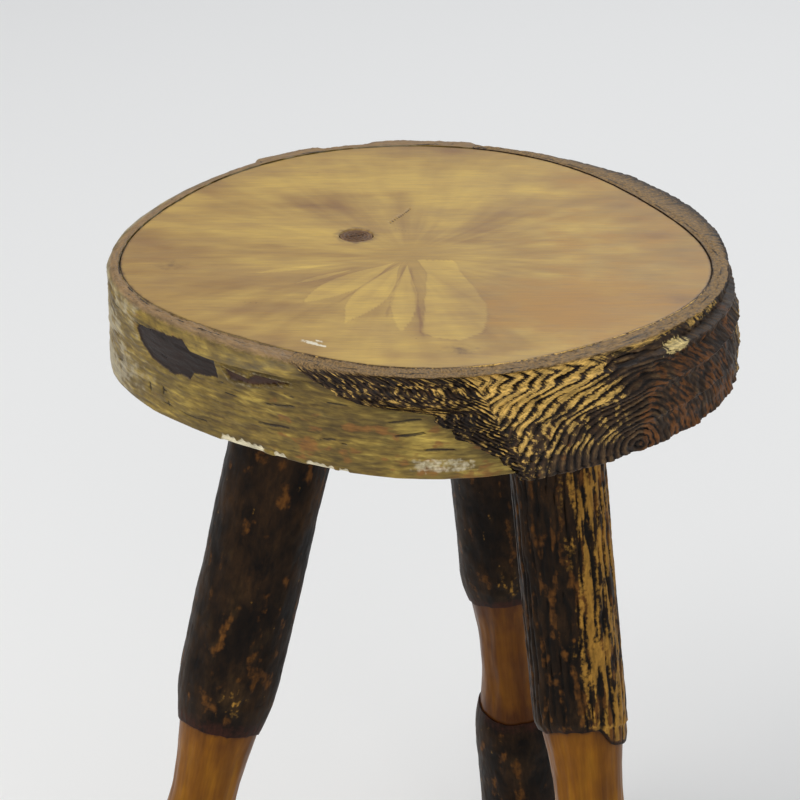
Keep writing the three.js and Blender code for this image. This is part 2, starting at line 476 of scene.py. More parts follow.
def make_worn_group() -> bpy.types.NodeTree:
    """A mask whose edge is eaten into by fine noise.

    Returns:
        Group with Vector, Mask, Breakup and Scale in, and Mask out.
    """
    tree = new_group(
        "worn_mask",
        {
            "Vector": "NodeSocketVector", "Mask": "NodeSocketFloat",
            "Breakup": "NodeSocketFloat", "Scale": "NodeSocketFloat",
        },
        {"Mask": "NodeSocketFloat"},
    )
    wire = Wiring(tree)
    given = tree.nodes["In"].outputs
    noise = wire.add(
        "ShaderNodeTexNoise", {"Vector": given["Vector"], "Scale": given["Scale"], "Detail": 3.0}
    )
    centred = wire.math("SUBTRACT", noise.outputs["Fac"], 0.5)
    bite = wire.math("MULTIPLY", wire.math("MULTIPLY", centred, 4.0), given["Breakup"])
    free = wire.math("MULTIPLY", given["Mask"], wire.math("SUBTRACT", 1.0, given["Mask"]))
    eaten = wire.math("ADD", given["Mask"], wire.math("MULTIPLY", bite, wire.math("MULTIPLY", free, 4.0)))
    rise = wire.add(
        "ShaderNodeMapRange", {"Value": eaten, "From Min": 0.12, "From Max": 0.88},
        interpolation_type="SMOOTHSTEP",
    )
    faint = wire.math("MULTIPLY", rise.outputs["Result"], given["Mask"])
    shown = wire.math("MAXIMUM", faint, wire.math("MULTIPLY", rise.outputs["Result"], 0.85))
    tree.links.new(wire.math("MINIMUM", shown, rise.outputs["Result"]), tree.nodes["Out"].inputs["Mask"])
    return tree


@dataclass(frozen=True)
class Finish:
    """A surface built from a relief ramp, broad mottling, fine grain and masked layers."""

    name: str
    low: Color                          # where the mask called tone is 0
    middle: Color
    high: Color                         # where it is 1
    mottle: Color                       # broad blotches
    mottle_share: float = 0.35
    mottle_scale: float = 60.0
    mottle_stretch: Color = (1.0, 1.0, 1.0)
    stretch: Color = (1.0, 1.0, 1.0)    # how the grain is drawn out
    grain_scale: float = 500.0
    grain_share: float = 0.3            # how strongly the grain lightens and darkens
    rough: float = 0.55
    rough_spread: float = 0.2
    bump: float = 0.2
    coat: float = 0.0
    shine: float = 0.2                  # specular level
    coordinates: Grain = Grain.UNROLLED
    layers: tuple[Layer, ...] = ()

    def material(self) -> bpy.types.Material:
        """Builds the material.

        Returns:
            The material, ready for a piece's slot.
        """
        made = bpy.data.materials.new(self.name)
        made.use_nodes = True
        tree = made.node_tree
        wire = Wiring(tree)
        shader = tree.nodes["Principled BSDF"]
        vector = self._vector(wire)
        color = self._ramp(wire)
        blotches = wire.add("ShaderNodeTexNoise", {
            "Vector": wire.add(
                "ShaderNodeVectorMath", {0: vector, 1: self.mottle_stretch}, operation="MULTIPLY"
            ).outputs[0],
            "Scale": self.mottle_scale, "Detail": 5.0, "Roughness": 0.6, "Distortion": 0.4,
        }).outputs["Fac"]
        patches = wire.add("ShaderNodeMapRange", {"Value": blotches, "From Min": 0.42, "From Max": 0.66})
        patches = wire.math("MULTIPLY", patches.outputs["Result"], self.mottle_share)
        color = wire.blend(patches, color, self.mottle)
        grain = wire.add("ShaderNodeGroup", node_tree=bpy.data.node_groups["grain"])
        tree.links.new(vector, grain.inputs["Vector"])
        grain.inputs["Stretch"].default_value = self.stretch
        grain.inputs["Scale"].default_value = self.grain_scale
        for layer in self.layers:
            color = wire.blend(self._worn(wire, vector, layer), color, layer.color)
        shade = wire.add("ShaderNodeMapRange", {
            "Value": grain.outputs["Value"], "From Min": 0.3, "From Max": 0.7,
            "To Min": 1 - self.grain_share, "To Max": 1 + self.grain_share * 0.6,
        }).outputs["Result"]
        tint = wire.add("ShaderNodeCombineColor", {0: shade, 1: shade, 2: shade}).outputs[0]
        color = wire.blend(1.0, color, tint, "MULTIPLY")
        tree.links.new(color, shader.inputs["Base Color"])
        rough = wire.add("ShaderNodeMapRange", {
            "Value": grain.outputs["Value"], "From Min": 0.3, "From Max": 0.7,
            "To Min": self.rough - self.rough_spread / 2, "To Max": self.rough + self.rough_spread / 2,
        })
        tree.links.new(rough.outputs["Result"], shader.inputs["Roughness"])
        bump = wire.add(
            "ShaderNodeBump", {"Height": grain.outputs["Value"], "Strength": self.bump, "Distance": 0.0006}
        )
        tree.links.new(bump.outputs["Normal"], shader.inputs["Normal"])
        shader.inputs["Specular IOR Level"].default_value = self.shine
        shader.inputs["Coat Weight"].default_value = self.coat
        shader.inputs["Coat Roughness"].default_value = 0.3
        return made

    def _vector(self, wire: Wiring) -> bpy.types.NodeSocket:
        """The coordinates that the patterns are drawn in.

        Args:
            wire: the material's wiring.

        Returns:
            The output socket that gives them.
        """
        if self.coordinates is Grain.OBJECT:
            return wire.add("ShaderNodeTexCoord").outputs["Object"]
        return wire.add("ShaderNodeAttribute", attribute_name="place").outputs["Vector"]

    def _ramp(self, wire: Wiring) -> bpy.types.NodeSocket:
        """The three relief colours, by the mask called tone.

        Args:
            wire: the material's wiring.

        Returns:
            The output socket with the colour.
        """
        tone = wire.add("ShaderNodeAttribute", attribute_name="tone").outputs["Fac"]
        ramp = wire.add("ShaderNodeValToRGB", {"Fac": tone})
        steps = ramp.color_ramp.elements
        steps[0].color = (*self.low, 1)
        steps[1].color = (*self.high, 1)
        steps.new(0.5).color = (*self.middle, 1)
        return ramp.outputs["Color"]

    def _worn(self, wire: Wiring, vector: bpy.types.NodeSocket, layer: Layer) -> bpy.types.NodeSocket:
        """One layer's mask with its edge broken up.

        Args:
            wire: the material's wiring.
            vector: the coordinates that the breakup is drawn in.
            layer: the layer.

        Returns:
            The output socket with the mask.
        """
        mask = wire.add("ShaderNodeAttribute", attribute_name=layer.mask).outputs["Fac"]
        group = wire.add("ShaderNodeGroup", node_tree=bpy.data.node_groups["worn_mask"])
        wire.tree.links.new(vector, group.inputs["Vector"])
        wire.tree.links.new(mask, group.inputs["Mask"])
        group.inputs["Breakup"].default_value = layer.breakup
        group.inputs["Scale"].default_value = layer.scale
        return group.outputs["Mask"]


CREAM: Color = (0.72, 0.64, 0.44)

ROUGH_BARK = Finish(
    "rough_bark_finish",
    low=(0.006, 0.004, 0.003), middle=(0.055, 0.029, 0.013), high=(0.21, 0.125, 0.052),
    mottle=(0.016, 0.010, 0.008), mottle_share=0.5, mottle_scale=110,
    stretch=(0.28, 1.7, 1), grain_scale=620, grain_share=0.75, rough=0.5, rough_spread=0.3, bump=0.6,
    layers=(
        Layer("orange", (0.17, 0.062, 0.014), 0.5, 350),
        Layer("gold", (0.76, 0.47, 0.12), 0.45, 900),
        Layer("cream", (0.80, 0.62, 0.26), 0.4, 700),
        Layer("cut", (0.25, 0.152, 0.060), 0.5, 900),
        Layer("crack", (0.008, 0.005, 0.004), 0.2, 900),
    ),
)
SMOOTH_BARK = Finish(
    "smooth_bark_finish",
    low=(0.105, 0.064, 0.014), middle=(0.25, 0.165, 0.030), high=(0.50, 0.355, 0.070),
    mottle=(0.088, 0.058, 0.015), mottle_share=0.7, mottle_scale=75, mottle_stretch=(0.45, 1.6, 1),
    stretch=(0.22, 1.5, 1), grain_scale=520, grain_share=0.45, rough=0.5, rough_spread=0.2, bump=0.4,
    shine=0.3,
    layers=(
        Layer("orange", (0.24, 0.105, 0.022), 0.5, 260),
        # painted reflection: pale grey over the smooth bark's left side, for the light it reflects there
        Layer("painted_reflection", (0.40, 0.34, 0.22), 0.4, 200),
        Layer("cream", CREAM, 0.35, 500),
        Layer("cut", (0.27, 0.165, 0.072), 0.5, 800),
        Layer("torn", (0.06, 0.028, 0.017), 0.3, 700),
        Layer("crack", (0.009, 0.005, 0.004), 0.15, 900),
    ),
)
SEAT_WOOD = Finish(
    "seat_wood_finish",
    low=(0.23, 0.112, 0.034), middle=(0.47, 0.295, 0.070), high=(0.66, 0.44, 0.090),
    mottle=(0.32, 0.185, 0.065), mottle_share=0.5, mottle_scale=22, mottle_stretch=(0.6, 1.7, 1),
    stretch=(0.16, 1.9, 1), grain_scale=420, grain_share=0.15, rough=0.42, rough_spread=0.14, bump=0.08,
    coat=0.05, shine=0.3,
    layers=(
        Layer("warm", (0.40, 0.205, 0.040), 0.3, 60),
        Layer("stain", (0.13, 0.068, 0.032), 0.3, 240),
        Layer("scuff", (0.80, 0.74, 0.58), 0.4, 900),
        Layer("crack", (0.030, 0.016, 0.009), 0.2, 900),
    ),
)
KNOT_WOOD = Finish(
    "knot_finish",
    low=(0.035, 0.017, 0.010), middle=(0.13, 0.066, 0.030), high=(0.24, 0.135, 0.060),
    mottle=(0.06, 0.03, 0.018), grain_scale=700, rough=0.5, bump=0.3,
    layers=(Layer("crack", (0.020, 0.011, 0.007), 0.2, 900),),
)
LEG_WOOD = Finish(
    "leg_wood_finish",
    low=(0.070, 0.020, 0.002), middle=(0.21, 0.076, 0.003), high=(0.36, 0.155, 0.006),
    mottle=(0.15, 0.052, 0.006), mottle_share=0.5, mottle_scale=45, mottle_stretch=(1, 1, 0.35),
    stretch=(1, 1, 0.07), grain_scale=620, grain_share=0.2, rough=0.36, rough_spread=0.12, bump=0.12,
    shine=0.13,
    layers=(Layer("stain", (0.07, 0.024, 0.006), 0.35, 300),),
)
LEG_BARK = Finish(
    "leg_bark_finish",
    low=(0.002, 0.001, 0.0006), middle=(0.011, 0.0055, 0.0022), high=(0.055, 0.030, 0.010),
    mottle=(0.045, 0.021, 0.007), mottle_share=0.65, mottle_scale=60, mottle_stretch=(1, 1, 0.6),
    stretch=(1, 1, 0.3), grain_scale=420, grain_share=0.5, rough=0.5, rough_spread=0.2, bump=0.3,
    shine=0.1,
    layers=(
        Layer("orange", (0.135, 0.052, 0.009), 0.5, 240),
        Layer("gold", (0.40, 0.205, 0.034), 0.5, 500),
        Layer("cut", (0.040, 0.012, 0.007), 0.3, 500),
        Layer("crack", (0.004, 0.003, 0.002), 0.2, 700),
    ),
)
WEDGE_WOOD = Finish(
    "wedge_finish",
    low=(0.52, 0.37, 0.18), middle=(0.55, 0.40, 0.20), high=(0.60, 0.44, 0.22),
    mottle=(0.42, 0.28, 0.13), mottle_scale=90, stretch=(1, 1, 0.1), grain_scale=600,
    grain_share=0.2, rough=0.6, coordinates=Grain.OBJECT,
)


def hand_over(piece: bpy.types.Object, finish: Finish, nodes: list[str]) -> None:
    """Finishes a piece and hands it to the frame.

    Args:
        piece: the mesh object.
        finish: what it is finished with.
        nodes: the frame nodes it stands for.
    """
    piece.data.materials.clear()
    piece.data.materials.append(finish.material())
    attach(piece, "root")
    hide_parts(*nodes)
    LOG.info("%s: %d vertices, %d faces", piece.name, len(piece.data.vertices), len(piece.data.polygons))


# ------------------------------------------------------------------ the seat's bark


class RimShape:
    """The log's outline, measured from the frame."""

    THINNER_SIDES = 3.5                 # millimetres by which the shown bark is thinner there
    THINNER_BACK = 2.5
    BARK_AT_LEAST = 4.0                 # millimetres past the wood from which a point is the bark's

    def __init__(self) -> None:
        """Finds the log's axis, its faces and its radii in the frame's nodes."""
        low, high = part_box("seat_knot")
        self.axis = np.array(((low + high) / 2).to_2d()) - np.array(KNOT_FROM_AXIS) * MM
        low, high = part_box("seat_wood")
        self.top, self.base = high.z, low.z
        self.thickness = self.top - self.base
        self._wood = self._ring("seat_wood", self.top, 0.1, 0.0)
        self._bark = {}
        for node, start in (("seat_bark_rough", 200.0), ("seat_bark_smooth", 0.0)):
            heights = vertices_of(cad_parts[node].data)[:, 2].round(4)
            levels, counts = np.unique(heights, return_counts=True)
            levels = levels[counts > 20][::-1]
            rings = [self._ring(node, level, None, start) for level in levels]
            self._bark[node] = (self.top - levels, rings)

    def _ring(self, node: str, height: float, least: float | None, start: float) -> tuple[Array, Array]:
        """The outer radii of a node at one height.

        Args:
            node: the frame node.
            height: the level to look at.
            least: smallest radius that counts, or None for anything well outside the wood.
            start: azimuth in degrees where the count round the log begins.

        Returns:
            Azimuths, in order, and the radius at each.
        """
        points = vertices_of(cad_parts[node].data)
        points = points[abs(points[:, 2] - height) < 0.2 * MM]
        flat = points[:, :2] - self.axis
        azimuth = (np.degrees(np.arctan2(flat[:, 1], flat[:, 0])) - start) % 360 + start
        radius = np.hypot(flat[:, 0], flat[:, 1])
        limit = least
        if least is None:
            limit = np.interp(azimuth % 360, *self._wood, period=360) + self.BARK_AT_LEAST * MM
        keep = radius > limit
        order = np.argsort(azimuth[keep])
        return azimuth[keep][order], radius[keep][order]

    def wood(self, azimuth: Array) -> Array:
        """The wood's radius under the bark, which thins at the sides and the back.

        Args:
            azimuth: degrees round the log.

        Returns:
            Radii in metres.
        """
        around, radius = self._wood
        turn = np.radians(azimuth)
        thinner = self.THINNER_SIDES * np.cos(turn) ** 2
        thinner = thinner + self.THINNER_BACK * np.clip(np.sin(turn), 0, 1)
        return np.interp(azimuth % 360, around, radius, period=360) + thinner * MM

    def bark(self, node: str, azimuth: Array, depth: Array) -> Array:
        """The bark's outer radius.

        Args:
            node: which shell of bark.
            azimuth: degrees round the log.
            depth: metres below the sitting face.

        Returns:
            Radii in metres.
        """
        depths, rings = self._bark[node]
        radii = [np.interp(azimuth, *ring) for ring in rings]
        result = radii[0].copy()
        for upper, lower, a, b in zip(radii, radii[1:], depths, depths[1:]):
            share = np.clip((depth - a) / (b - a), 0, 1)
            result += share * (lower - upper)
        return result


@dataclass
class BarkShell:
    """One shell of the seat's bark, between the front seam and the back seam."""

    rim: RimShape
    seed: int = 0
    fine_step: float = 0.62             # millimetres between points where the bark is seen most
    coarse_step: float = 1.5
    row_step: float = 0.58
    seam_gap: float = 0.5
    top_round: float = 3.2              # how far the outer edge is rounded over, millimetres
    foot_round: float = 1.0
    mean_radius: float = 152.0          # turns degrees into millimetres of arc
    sawn_arc: float = 2.65              # millimetres of arc to a degree on the sawn top
    top_rows: int = 14
    hidden_rows: int = 5
    front_seam: tuple[Array, Array] = (                 # depths, and the azimuth at each
        np.array([0, 5, 10, 13.5, 16, 21, 28, 33, 40, 50.0]),
        np.array([246, 252, 256, 262, 272, 274, 277, 281, 284, 287.0]),
    )
    back_seam: tuple[float, float] = (78.0, 62.0)       # azimuth at the top and at the underside
    plain_front: tuple[float, float] = (248.0, 287.0)   # the same for a smooth line by the front seam
    seam_bend: float = 0.8              # power that bows a seam as it comes down
    seam_reach: float = 0.12            # share of the shell's length that bends with its seams

    node = ""
    finish = ROUGH_BARK
    slot = ""

    @property
    def scale(self) -> float:
        """Millimetres of arc to a degree."""
        return np.pi / 180 * self.mean_radius

    def plain_seams(self, depth: Array) -> tuple[Array, Array]:
        """Smooth lines close to the seams, which the mesh's columns follow away from them.

        Args:
            depth: millimetres below the sitting face.

        Returns:
            Azimuths of the front and the back line, in degrees.
        """
        share = (depth / (self.rim.thickness / MM)) ** self.seam_bend
        lines = ((top, bottom - top) for top, bottom in (self.plain_front, self.back_seam))
        front, back = (top + run * share for top, run in lines)
        return front, back

    def seams(self, depth: Array) -> tuple[Array, Array]:
        """The seams where rough bark meets smooth.

        Args:
            depth: millimetres below the sitting face.

        Returns:
            Azimuths of the front and the back seam, in degrees.
        """
        front = np.interp(depth, *self.front_seam) + 0.5 * np.sin(depth * 0.9) + 0.25 * np.sin(depth * 2.3)
        return front, self.plain_seams(depth)[1] + 0.6 * np.sin(depth * 0.5)

    def span(self, seams: tuple[Array, Array]) -> tuple[Array, Array]:
        """Azimuths where this shell begins and ends, from those of the front and back seams."""
        raise NotImplementedError

    def is_fine(self, azimuth: float) -> bool:
        """Whether the bark needs its full detail at this azimuth."""
        raise NotImplementedError

    def relief(self, azimuth: Array, depth: Array) -> tuple[Array, dict[str, Array], tuple[Array, Array]]:
        """Outward relief of the bark's face, in millimetres, the finish's masks and its coordinates."""
        raise NotImplementedError

    def _columns(self) -> Array:
        """Where the mesh's columns stand, closer together where detail shows.

        Returns:
            Shares of the way from one seam to the other.
        """
        start, end = (float(np.mean(a)) for a in self.span(self.seams(np.array([0.0, 50.0]))))
        places = [start]
        while places[-1] < end:
            step = self.fine_step if self.is_fine(places[-1] % 360) else self.coarse_step
            places.append(places[-1] + math.degrees(step / self.mean_radius))
        places = np.array(places)
        return (places - start) / (places[-1] - start)

    def _section(self) -> tuple[Array, Array, Array]:
        """The ring of points round the shell's section.

        Returns:
            For each point: its depth in millimetres, its share of the way from the outer face
            in to the wood, and how far the rounded edges set it back, in millimetres.
        """
        deep = self.rim.thickness / MM
        top, foot = self.top_round, self.foot_round
        turn = np.linspace(0, np.pi / 2, 5)
        face = np.arange(deep - foot, top, -self.row_step)
        shares_in = np.linspace(0, 1, self.top_rows + 1) ** 1.1
        hidden = np.linspace(0, 1, self.hidden_rows + 1)
        depth = np.concatenate([
            deep - foot * (1 - np.cos(turn[:-1])), face, top * (1 - np.sin(turn[1:])),
            np.zeros(self.top_rows), hidden[1:] * deep, np.full(self.hidden_rows - 1, deep),
        ])
        inward = np.concatenate([
            np.zeros(len(turn) - 1), np.zeros(len(face)), np.zeros(len(turn) - 1),
            shares_in[1:], np.ones(self.hidden_rows), 1 - hidden[1:-1],
        ])
        rounding = np.concatenate([
            foot * (1 - np.sin(turn[:-1])), np.zeros(len(face)), top * (1 - np.cos(turn[1:])),
            np.full(self.top_rows, top), np.zeros(self.hidden_rows), np.full(self.hidden_rows - 1, foot),
        ])
        return depth, inward, rounding

    def make(self) -> bpy.types.Object:
        """Builds, dresses and hands over the shell.

        Returns:
            The piece.
        """
        ring_depth, ring_in, ring_round = self._section()
        share = self._columns()[:, None]
        depth = np.broadcast_to(ring_depth, (len(share), len(ring_depth)))
        start, end = self.span(self.seams(ring_depth))
        plain_start, plain_end = self.span(self.plain_seams(ring_depth))
        gap = math.degrees(self.seam_gap / 2 / self.mean_radius)
        azimuth = plain_start + share * (plain_end - plain_start) + gap * (1 - 2 * share)
        azimuth = azimuth + (start - plain_start) * (1 - ease(share, 0, self.seam_reach))
        azimuth = azimuth + (end - plain_end) * ease(share, 1 - self.seam_reach, 1)
        outer = self.rim.bark(self.node, azimuth, depth * MM) / MM
        wood = self.rim.wood(azimuth) / MM + self._crack(azimuth, ring_in)
        out, masks, drawn = self.relief(azimuth, depth)
        rounded = outer - ring_round
        base = rounded + (wood - rounded) * ring_in
        room = np.clip((base - wood) / 3, 0, 1) * (ring_in < 1)
        on_face = np.exp(-((outer - base) / 3.5) ** 2) * (ring_in < 0.999)
        radius = base + out * on_face * room
        cut, bumps = self._cut_face(azimuth, depth, outer - base, ring_in)
        height = -depth + bumps * cut
        angle = np.radians(azimuth)
        places = np.stack([
            self.rim.axis[0] + radius * MM * np.cos(angle),
            self.rim.axis[1] + radius * MM * np.sin(angle),
            self.rim.top + height * MM,
        ], -1)
        half = int(np.argmax(ring_in >= 1)) - self.top_rows // 2
        climb = np.concatenate([-ring_depth[:half], [0.5]])
        fall = -ring_depth[::-1][: len(ring_depth) - half]
        fall[-self.top_rows // 2:] = np.linspace(0, 0.4, len(fall[-self.top_rows // 2:]))
        chains = (np.maximum.accumulate(climb), np.maximum.accumulate(fall))
        piece = Skin(f"{self.node}_piece", places, chains=chains).build()
        masks["cut"] = cut
        sawn_cracks = self._cut_cracks(azimuth, outer - base, ring_in) * cut
        masks["crack"] = np.maximum(masks["crack"] * on_face, sawn_cracks)
        masks["tone"] = np.where(cut > 0.5, 0.5 + 0.5 * bumps, masks["tone"])
        place = np.stack([drawn[0] + 0 * radius, drawn[1] + 0 * radius, radius], -1) * MM
        store(piece, masks, place)
        hand_over(piece, self.finish, [self.node])
        return piece

    def _crack(self, azimuth: Array, inward: Array) -> Array:
        """How far the bark has shrunk off the wood.

        Args:
            azimuth: degrees round the log.
            inward: share of the way in from the outer face to the wood.

        Returns:
            Millimetres.
        """
        noise = Noise(41)
        wander = noise.layered(azimuth / 5.0, inward * 0 + 3.1)
        front = 0.35 + 0.65 * band(azimuth % 360, 190, 275, 25)
        return 0.25 + front * np.clip(wander + 0.25, 0, 0.9)

    def _cut_face(self, azimuth: Array, depth: Array, inside: Array, inward: Array) -> tuple[Array, Array]:
        """The sawn top of the bark.

        Args:
            azimuth: degrees round the log.
            depth: millimetres below the sitting face.
            inside: millimetres in from the outer face.
            inward: share of the way in from the outer face to the wood.

        Returns:
            Mask of the sawn face, and its bumps in millimetres.
        """
        noise = Noise(17 + self.seed)
        arc = azimuth * self.sawn_arc
        on_top = ease(-depth, -1.6, -0.4) * (inward < 1)
        bumps = 0.45 * noise.layered(arc / 2.2, inside / 1.6, 5.0)
        bumps = bumps + 0.5 * noise.at(arc / 14, inside / 5, 2.0)
        sunk = -0.25 - 0.5 * hump(inside, 7.5, 1.1) * np.clip(noise.at(arc / 20, 9.0) + 0.4, 0, 1)
        return on_top, np.clip(bumps + sunk, -1.6, 0.45)

    def _cut_cracks(self, azimuth: Array, inside: Array, inward: Array) -> Array:
        """Dark lines in the sawn top: at the wood, and broken ones half way out.

        Args:
            azimuth: degrees round the log.
            inside: millimetres in from the outer face.
            inward: share of the way in from the outer face to the wood.

        Returns:
            Mask of the lines and pits.
        """
        noise = Noise(23 + self.seed)
        arc = azimuth * self.sawn_arc
        at_wood = ease(inward, 0.86, 0.97) * ease(noise.layered(arc / 9, 1.0), -0.5, 0.1)
        wander = 5.5 + 1.2 * noise.at(arc / 25, 4.0)
        midway = hump(inside, wander, 0.45) * ease(noise.at(arc / 16, 7.0), -0.1, 0.2)
        pits = ease(noise.layered(arc / 1.6, inside / 1.3, 3.0), 0.42, 0.62)
        return np.clip(at_wood + midway + 0.8 * pits, 0, 1)


@dataclass
class RoughBark(BarkShell):
    """The fissured bark that swirls round a burr."""

    seed: int = 5
    burr: tuple[float, float] = (309.5, 47.0)    # azimuth in degrees, depth in millimetres
    ridge_step: float = 2.7             # from one ridge to the next round the burr, millimetres
    strand_step: float = 2.3            # the same along the front seam
    upright_step: float = 5.2           # the same past the arcs
    squeeze: tuple[float, float] = (1.6, 1.3)    # how the arcs are drawn out left and right of the burr
    strands_end: tuple[float, float] = (279, 288)    # azimuth at the top face and at the underside
    strands_slope: tuple[float, float] = (254, 0.66)    # azimuth at the top, degrees to a millimetre
    arcs_end: tuple[float, float] = (62, 84)    # where the arcs fade, in millimetres past the burr
    tail: tuple[float, float] = (246, 276)      # azimuths of the crumbly band over the smooth bark
    tail_foot: tuple[float, float] = (13, 19)   # depths over which the band fades
    groove: float = 0.85                # depth of the fissures, millimetres

    node = "seat_bark_rough"
    finish = ROUGH_BARK
    slot = "rough_bark"

    def span(self, seams: tuple[Array, Array]) -> tuple[Array, Array]:
        """From the front seam round the right side to the back seam."""
        return seams[0], seams[1] + 360

    def is_fine(self, azimuth: float) -> bool:
        """The front and right side."""
        return azimuth > 240 or azimuth < 12

    def relief(self, azimuth: Array, depth: Array) -> tuple[Array, dict[str, Array], tuple[Array, Array]]:
        """Ridges in arcs round the burr, strands by the front seam, upright fissures past the burr.

        Args:
            azimuth: degrees round the log.
            depth: millimetres below the sitting face.

        Returns:
            Relief in millimetres, the finish's masks, and its coordinates along and across
            the ridges in millimetres.
        """
        noise = Noise(self.seed)
        arc = (azimuth - self.burr[0]) * self.scale
        drop = depth - self.burr[1]
        bend_x = 2.6 * noise.at(arc / 26, depth / 26, 1.0) + 0.35 * noise.at(arc / 7, depth / 7, 4.0)
        bend_y = 2.6 * noise.at(arc / 26, depth / 26, 7.0) + 0.35 * noise.at(arc / 7, depth / 7, 9.0)
        squeeze = np.where(arc < 0, *self.squeeze)
        away = np.hypot((arc + bend_x) / squeeze, drop + bend_y)
        turn = np.arctan2(drop + bend_y, (arc + bend_x) / squeeze)
        seam = self.seams(depth)[0]
        from_seam = (azimuth - seam) * self.scale
        first, last = self.strands_end
        strand_edge = first + (last - first) * depth / (self.rim.thickness / MM)
        strands = 1 - ease(azimuth, strand_edge - 2.5, strand_edge + 2.5)
        aside = ease(arc, *self.arcs_end)
        ringed = away / self.ridge_step + 0.18 * noise.at(turn * 4, away / 12, 2.0)
        start, slope = self.strands_slope
        sloping = (azimuth - start - slope * depth) * self.scale
        along = sloping * 0.8 / self.strand_step + 0.3 * noise.layered(arc / 7, depth / 7, 12.0)
        upright = (arc + 2.6 * noise.layered(arc / 9, depth / 26, 14.0)) / self.upright_step
        phase = np.where(strands > 0.5, along, np.where(aside > 0.5, upright, ringed))
        cell = phase - np.floor(phase)
        wide = np.where(aside > 0.5, 0.15, 0.13)
        calm = 1 - 0.7 * band(azimuth, 318, 356, 9) - 0.35 * ease(azimuth, 356, 372)
        alive = 0.4 + 0.6 * ease(noise.at(turn * 3.5 + 5, away / 3.2, 21.0), -0.5, 0.3)
        alive = np.where(aside > 0.5, ease(noise.at(arc / 6, depth / 18, 23.0), -0.6, 0.2), alive)
        cut = hump(cell, 0.5, wide) * alive
        edge = abs(strands - 0.5) * 2 * abs(aside - 0.5) * 2
        cut = cut * ease(edge, 0.0, 0.5) * calm
        lumps = noise.layered(arc / 8, depth / 8, 31.0)
        crumbs = noise.layered(arc / 1.9, depth / 1.9, 33.0)
        broken = noise.layered(turn * away / 7 + strands * depth / 6, away / 1.6, 35.0)
        tail = band(azimuth, *self.tail, 3) * (1 - ease(depth, *self.tail_foot))
        crest = hump(cell, 0.0, 0.22) + hump(cell, 1.0, 0.22)
        level = 0.75 * lumps * (1.6 - 0.6 * calm) - self.groove * cut + 0.25 * crest * calm * (1 - tail)
        level = level + 0.2 * broken * (1 - tail) + crumbs * (0.2 + 0.6 * tail)
        proud = 0.6 + 1.1 * (1 - ease(from_seam, 0, 9)) * ease(depth, 6, 20)
        ragged = 1.6 * ease(depth, 44, 50) * noise.layered(arc / 6, 3.3) * band(azimuth, 296, 350, 5)
        swell = 2.2 * hump(azimuth, 358, 14) * ease(depth, 6, 25)
        out = level + proud + ragged + swell + self._lumps(azimuth, depth)
        tone = 0.42 + 0.34 * lumps - 0.6 * cut + 0.3 * crest * calm + 0.22 * crumbs + 0.2 * broken
        tone = np.clip(tone - 0.34 * strands * (1 - 0.4 * tail), 0, 1)
        across = phase * self.ridge_step
        place = np.where((strands > 0.5) | (aside > 0.5), depth, turn * away)
        return out, self._masks(azimuth, depth, tone, cut, crumbs, noise, arc, tail), (place, across)

    def _lumps(self, azimuth: Array, depth: Array) -> Array:
        """Scabs of bark that stand out at the back of the top edge.

        Args:
            azimuth: degrees round the log.
            depth: millimetres below the sitting face.

        Returns:
            How far they stand out, in millimetres.
        """
        broad = 4.5 * band(azimuth - 360, 79, 97, 2.5) * (1 - ease(depth, 4, 14))
        return broad + 1.5 * hump(azimuth - 360, 43, 2.5) * (1 - ease(depth, 3, 9))

    def _masks(
        self, azimuth: Array, depth: Array, tone: Array, cut: Array, crumbs: Array,
        noise: Noise, arc: Array, tail: Array,
    ) -> dict[str, Array]:
        """Where the bark is gold, cream, orange or split.

        Args:
            azimuth, depth, arc: places.
            tone: relief from 0 to 1.
            cut: fissures.
            crumbs: fine noise.
            noise: the shell's noise.
            tail: the crumbly band over the front seam.

        Returns:
            The masks by name.
        """
        crest = ease(tone, 0.3, 0.5) * (1 - cut)
        streak = noise.layered(arc / 7, depth / 7, 41.0)
        upper = band(azimuth, 280, 301, 3) * (1 - ease(depth, 14, 26)) * ease(streak, -1.0, -0.5)
        lower = band(azimuth, 284, 303, 6) * ease(streak + 0.4 * crumbs, -0.2, 0.2)
        lower = lower * (1 - ease(depth, 32, 48))
        lip = band(azimuth, 279, 332, 3) * (1 - ease(depth, 1.2, 3.6))
        lip = lip * ease(streak + crumbs * 0.5, -0.5, 0.1)
        chips = band(azimuth, 326, 338, 2) * (1 - ease(depth, 3, 7)) * ease(crumbs + streak, -0.3, 0.1)
        flecks = (tail + 0.7 * band(azimuth, 268, 290, 4)) * ease(crumbs, 0.0, 0.4) * 0.7
        spot = ease(crumbs * 0.5 + hump(azimuth, 320, 4.2) * hump(depth, 8, 4.2), 0.5, 0.8)
        red = band(azimuth, 312, 340, 6) * ease(noise.layered(arc / 11, depth / 14, 45.0), -0.25, 0.25)
        scattered = 0.6 * ease(noise.layered(arc / 9, depth / 9, 47.0), 0.3, 0.6)
        red = np.maximum(red * ease(depth, 6, 14), scattered)
        pale = hump(azimuth, 350, 7) * ease(depth, 12, 22)
        gold = (upper + 0.85 * lower) * crest + lip + chips + flecks + 0.5 * pale * crest
        return {
            "tone": tone,
            "gold": np.clip(gold, 0, 1),
            "cream": spot,
            "orange": red * ease(tone, 0.2, 0.5) * 0.9,
            "crack": np.clip(cut * 1.25, 0, 1),
        }


